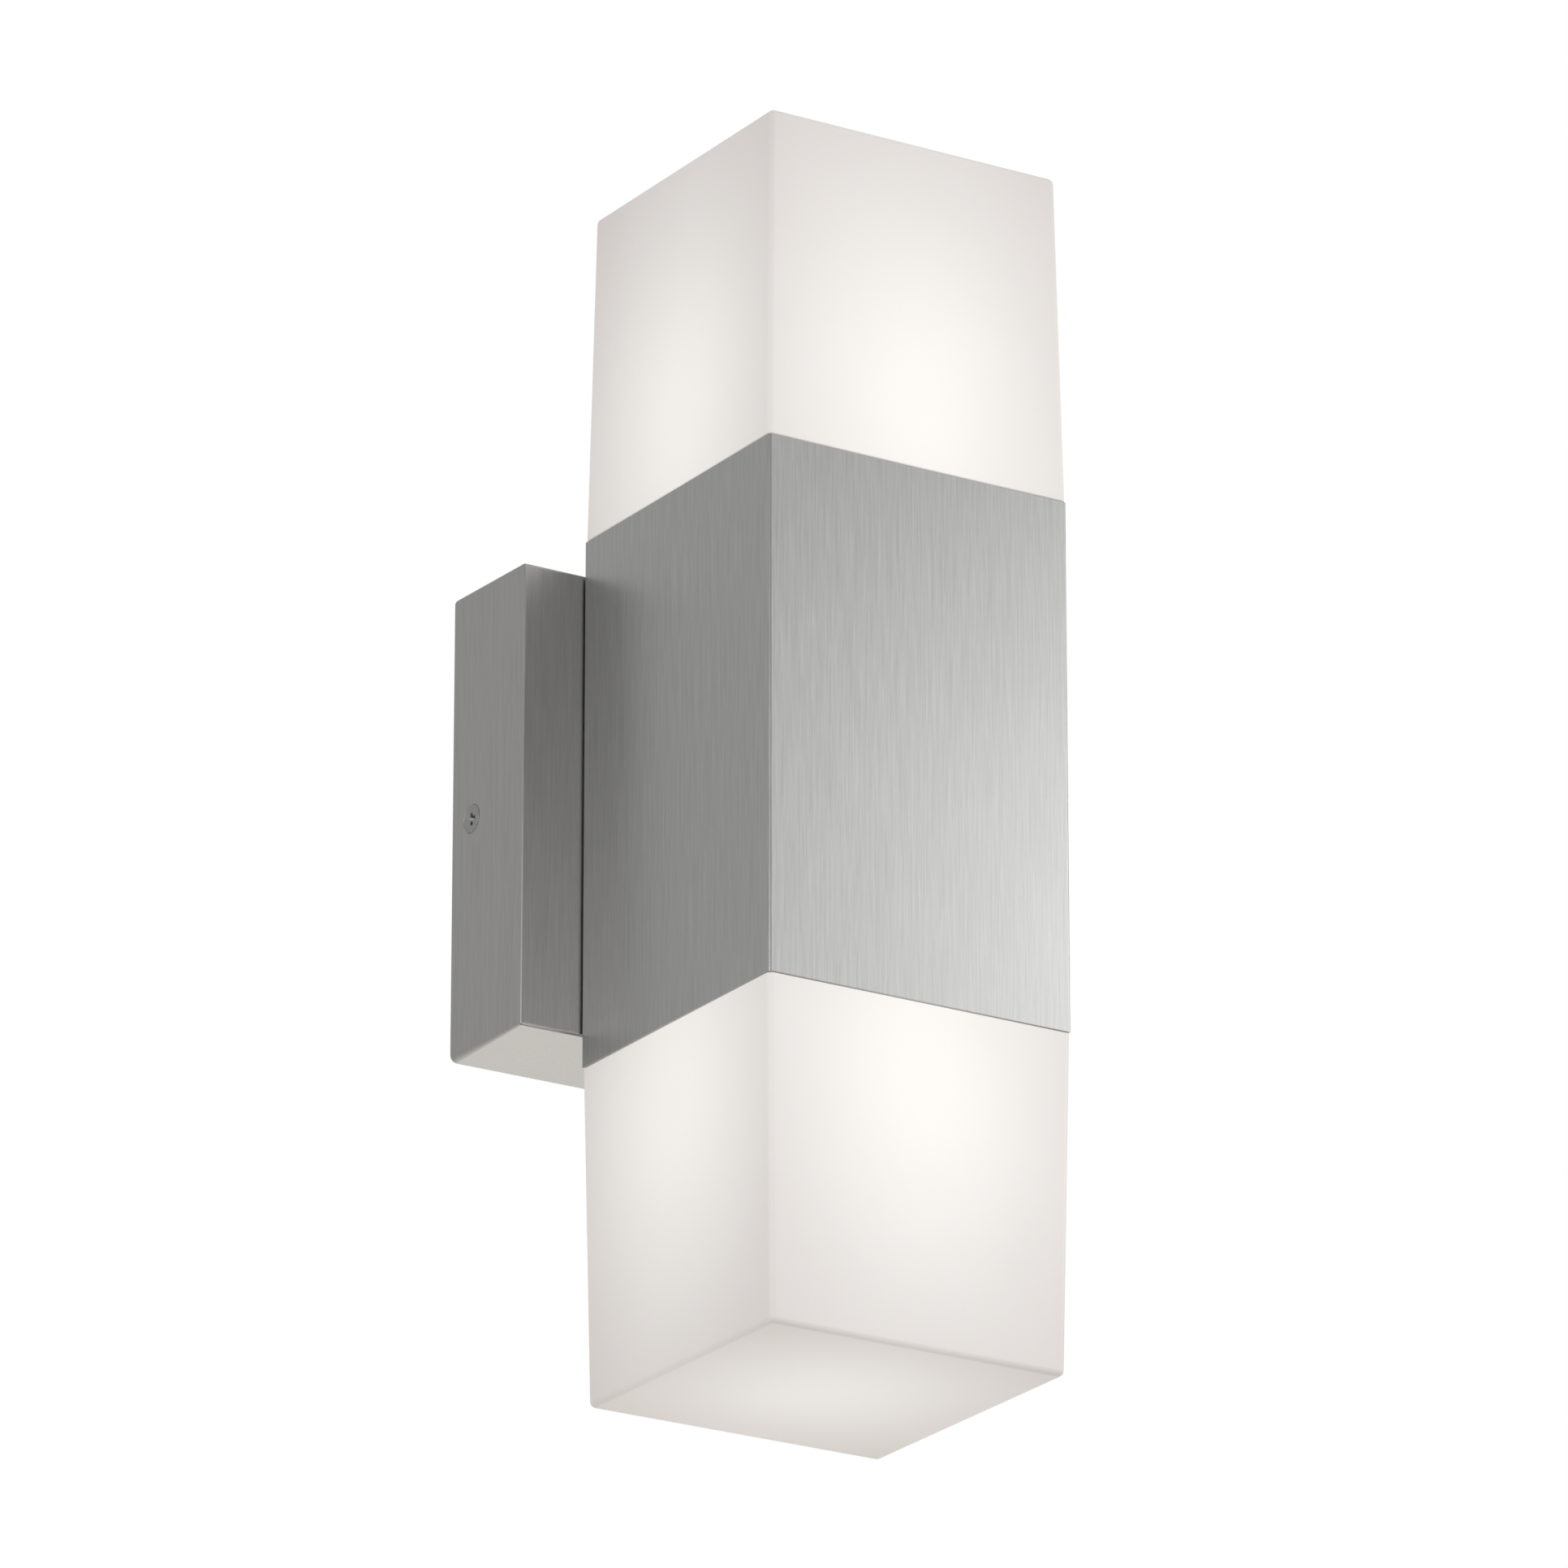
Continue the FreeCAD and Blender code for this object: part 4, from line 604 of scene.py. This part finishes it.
for up, name in ((1, "upper"), (-1, "lower")):
    glass = jar(name + "_jar", up, shade_seat, shade_tip, foot_half, tip_half,
                outer_round, foot_break)
    carve(glass, rod(Vector((0, middle_y, up * (shade_seat - neck_long))),
                     Vector((0, middle_y, up * (shade_seat + overlap))),
                     neck_radius, 96), "UNION")
    floor_at = shade_seat + glass_end
    roof_at = shade_tip - glass_end
    carve(glass, jar("cavity", up, floor_at, roof_at, foot_half - glass_wall,
                     tip_half - glass_wall, cavity_round, cavity_foot_round))
    carve(glass, rod(Vector((0, middle_y, up * (shade_seat - neck_long - overlap))),
                     Vector((0, middle_y, up * (floor_at + 2 * overlap))), neck_bore, 96))

    # One rounded turn of glass thread round the neck, closed at both ends.
    work_on()
    bpy.ops.mesh.primitive_circle_add(vertices=10, radius=ridge_radius,
                                      location=(neck_radius - ridge_sunk, 0, 0),
                                      rotation=(math.pi / 2, 0, 0))
    thread = bpy.context.object
    bpy.ops.object.transform_apply(location=True, rotation=True, scale=True)
    finish_mesh(thread, "SCREW", axis="Z", angle=math.radians(ridge_turn),
                screw_offset=ridge_climb, steps=ridge_steps, render_steps=ridge_steps)
    pick(thread, "EDGE", lambda at, edge: False)
    bpy.ops.mesh.select_non_manifold()
    bpy.ops.mesh.edge_face_add()
    bpy.ops.mesh.select_all(action="SELECT")
    bpy.ops.mesh.normals_make_consistent(inside=False)
    work_on(thread)
    thread.rotation_euler = (0 if up == 1 else math.pi, 0, 0)
    thread.location = (0, middle_y, up * (shade_seat - ridge_start))
    bpy.ops.object.transform_apply(location=True, rotation=True, scale=True)
    work_on(glass, thread)
    bpy.ops.object.join()
    smooth(glass, 40)
    globe_low, globe_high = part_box(name + "_lamp_globe")
    # The shade glass gets a painted glow: emission that stands in for the lamp's light through it.
    painted_glow_middle = up * (max(abs(globe_low.z), abs(globe_high.z)) - painted_glow_from_tip)
    dress(finish_of(name + "_opal_glass", lit_glass, (0.735, 0.718, 0.695),
                    (0.795, 0.778, 0.755), 0.34, 0.48, scale=(1, 1, 0.7), depth=0.000003,
                    glow={"Lamp": (0, middle_y, painted_glow_middle), "Near": foot_half,
                          "Bright": (1.0, 0.965, 0.93, 1), "Faint": (0.09, 0.01, 0.0, 1)},
                    Emission_Strength=0.45, IOR=1.5), glass)
    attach(glass, name + "_shade")
    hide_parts(name + "_shade")

# ---- Shade holders ------------------------------------------------------------------------
# Die-cast plates that close the tube's ends and hold the shades by their necks.  They are
# left as cast, with a faint orange-peel skin.

# Mottled skin: soft patches of colour and gloss over a fine tooth.
mottling, entry, leave, at_scale = finish_group("mottling")
patches = add_node(mottling, "TexNoise", Scale=1.0, Detail=4.0, Roughness=0.6)
mottling.links.new(at_scale, patches.inputs["Vector"])
even = add_node(mottling, "MapRange", From_Min=0.3, From_Max=0.7)
mottling.links.new(patches.outputs["Fac"], even.inputs["Value"])
between_colours(mottling, even.outputs["Result"], entry.outputs["Dark"],
                entry.outputs["Light"], leave.inputs["Color"])
tooth = add_node(mottling, "TexNoise", Scale=8.0, Detail=3.0)
mottling.links.new(at_scale, tooth.inputs["Vector"])
between_numbers(mottling, tooth.outputs["Fac"], entry.outputs["Smoothest"],
                entry.outputs["Roughest"], leave.inputs["Roughness"])
mottling.links.new(tooth.outputs["Fac"], leave.inputs["Height"])

dress(finish_of("die_cast_zinc", mottling, (0.44, 0.44, 0.45), (0.56, 0.56, 0.57), 0.42, 0.60,
                scale=(160, 160, 160), depth=0.00003, Metallic=1.0),
      nodes["upper_shade_holder"], nodes["lower_shade_holder"])

# ---- Steel parts --------------------------------------------------------------------------
# The wall bracket and the lamp bridge are bent strip.  They, the washers and the screws are
# zinc plated and passivated to a faintly blue and yellow silver.

dress(finish_of("zinc_plate", mottling, (0.47, 0.49, 0.53), (0.66, 0.65, 0.60), 0.24, 0.40,
                scale=(90, 90, 90), depth=0.00001, Metallic=1.0),
      *(nodes[name] for name in (
          "wall_bracket", "lamp_bridge", "nipple_washers", "tube_screws", "tube_nuts",
          "bridge_screws", "upper_holder_screws", "lower_holder_screws",
          "upper_socket_screws", "lower_socket_screws")))

# ---- Earthing screw -----------------------------------------------------------------------
# A hexagon steel screw with a flange, dyed green so that it is taken for nothing else.  It
# is driven into the wall bracket and clamps a ring terminal of the earth lead.

dress(finish_of("green_dyed_steel", mottling, (0.03, 0.22, 0.08), (0.06, 0.34, 0.14), 0.28, 0.42,
                scale=(300, 300, 300), depth=0.00001, Metallic=0.8), nodes["ground_screw"])

# ---- Brass parts --------------------------------------------------------------------------
# The hollow nipple and its nuts, the ring terminals, the lamps' caps, and the sockets' screw
# shells and centre contacts are turned or pressed brass, left bare and a little dull.

dress(finish_of("bare_brass", mottling, (0.62, 0.42, 0.17), (0.80, 0.60, 0.28), 0.24, 0.42,
                scale=(120, 120, 120), depth=0.00001, Metallic=1.0),
      *(nodes[name] for name in (
          "nipple", "nipple_nuts", "ground_terminals", "upper_socket_shell", "lower_socket_shell",
          "upper_socket_contact", "lower_socket_contact", "upper_lamp_cap", "lower_lamp_cap")))

# ---- Sockets ------------------------------------------------------------------------------
# Medium-base lamp sockets of white porcelain, fired with a clear glaze.  Two screws hold
# each one to the lamp bridge.

dress(finish_of("glazed_porcelain", mottling, (0.78, 0.77, 0.73), (0.84, 0.83, 0.80), 0.08, 0.16,
                scale=(60, 60, 60), depth=0.00002, Coat_Weight=0.6, IOR=1.52),
      nodes["upper_socket"], nodes["lower_socket"])

# ---- Lamps --------------------------------------------------------------------------------
# Frosted round lamps on brass caps, alight.  A ring of black glass insulates each cap from
# its solder tip.

globe_at = 0.125
globe_radius = 0.030
for up, name in ((1, "upper"), (-1, "lower")):
    dress(finish_of(name + "_frosted_globe", lit_glass, (0.86, 0.85, 0.83),
                    (0.90, 0.89, 0.87), 0.30, 0.40, depth=0.000002,
                    glow={"Lamp": (0, middle_y, up * globe_at), "Near": globe_radius,
                          "Bright": (1.0, 0.93, 0.84, 1), "Faint": (0.9, 0.75, 0.58, 1)},
                    Emission_Strength=1.0, IOR=1.5), nodes[name + "_lamp_globe"])
dress(finish_of("black_vitrite", mottling, (0.008, 0.008, 0.010), (0.020, 0.018, 0.020), 0.08, 0.16,
                scale=(400, 400, 400), depth=0.00001, IOR=1.55),
      nodes["upper_lamp_insulator"], nodes["lower_lamp_insulator"])
dress(finish_of("solder_blob", mottling, (0.45, 0.45, 0.47), (0.62, 0.62, 0.64), 0.26, 0.44,
                scale=(500, 500, 500), depth=0.00002, Metallic=1.0),
      nodes["upper_lamp_tip"], nodes["lower_lamp_tip"])

# ---- Gaskets ------------------------------------------------------------------------------
# Closed-cell black foam seals the canopy to the wall and the tube to the canopy.  A clear
# silicone ring cushions each shade.

dress(finish_of("black_foam", mottling, (0.015, 0.015, 0.016), (0.040, 0.040, 0.042), 0.80, 0.95,
                scale=(900, 900, 900), depth=0.00015),
      nodes["wall_gasket"], nodes["joint_gasket"])
dress(finish_of("milky_silicone", mottling, (0.62, 0.62, 0.60), (0.74, 0.74, 0.72), 0.36, 0.50,
                scale=(220, 220, 220), depth=0.00001, IOR=1.41),
      nodes["upper_shade_gasket"], nodes["lower_shade_gasket"])

# ---- Wiring -------------------------------------------------------------------------------
# Stranded leads with coloured insulation run from the sockets through the nipple into the
# canopy, where twist-on connectors join them to the supply.

for colour, dark, light in (("black", (0.012, 0.012, 0.013), (0.030, 0.030, 0.032)),
                            ("white", (0.70, 0.70, 0.68), (0.80, 0.80, 0.78))):
    dress(finish_of(colour + "_insulation", mottling, dark, light, 0.30, 0.44,
                    scale=(300, 300, 300), depth=0.00001),
          nodes[f"upper_{colour}_lead"], nodes[f"lower_{colour}_lead"])
dress(finish_of("green_insulation", mottling, (0.02, 0.20, 0.06), (0.04, 0.30, 0.10), 0.30, 0.44,
                scale=(300, 300, 300), depth=0.00001), nodes["ground_lead"])
dress(finish_of("connector_plastic", mottling, (0.70, 0.24, 0.03), (0.82, 0.32, 0.05), 0.28, 0.42,
                scale=(200, 200, 200), depth=0.00001), nodes["wire_connectors"])
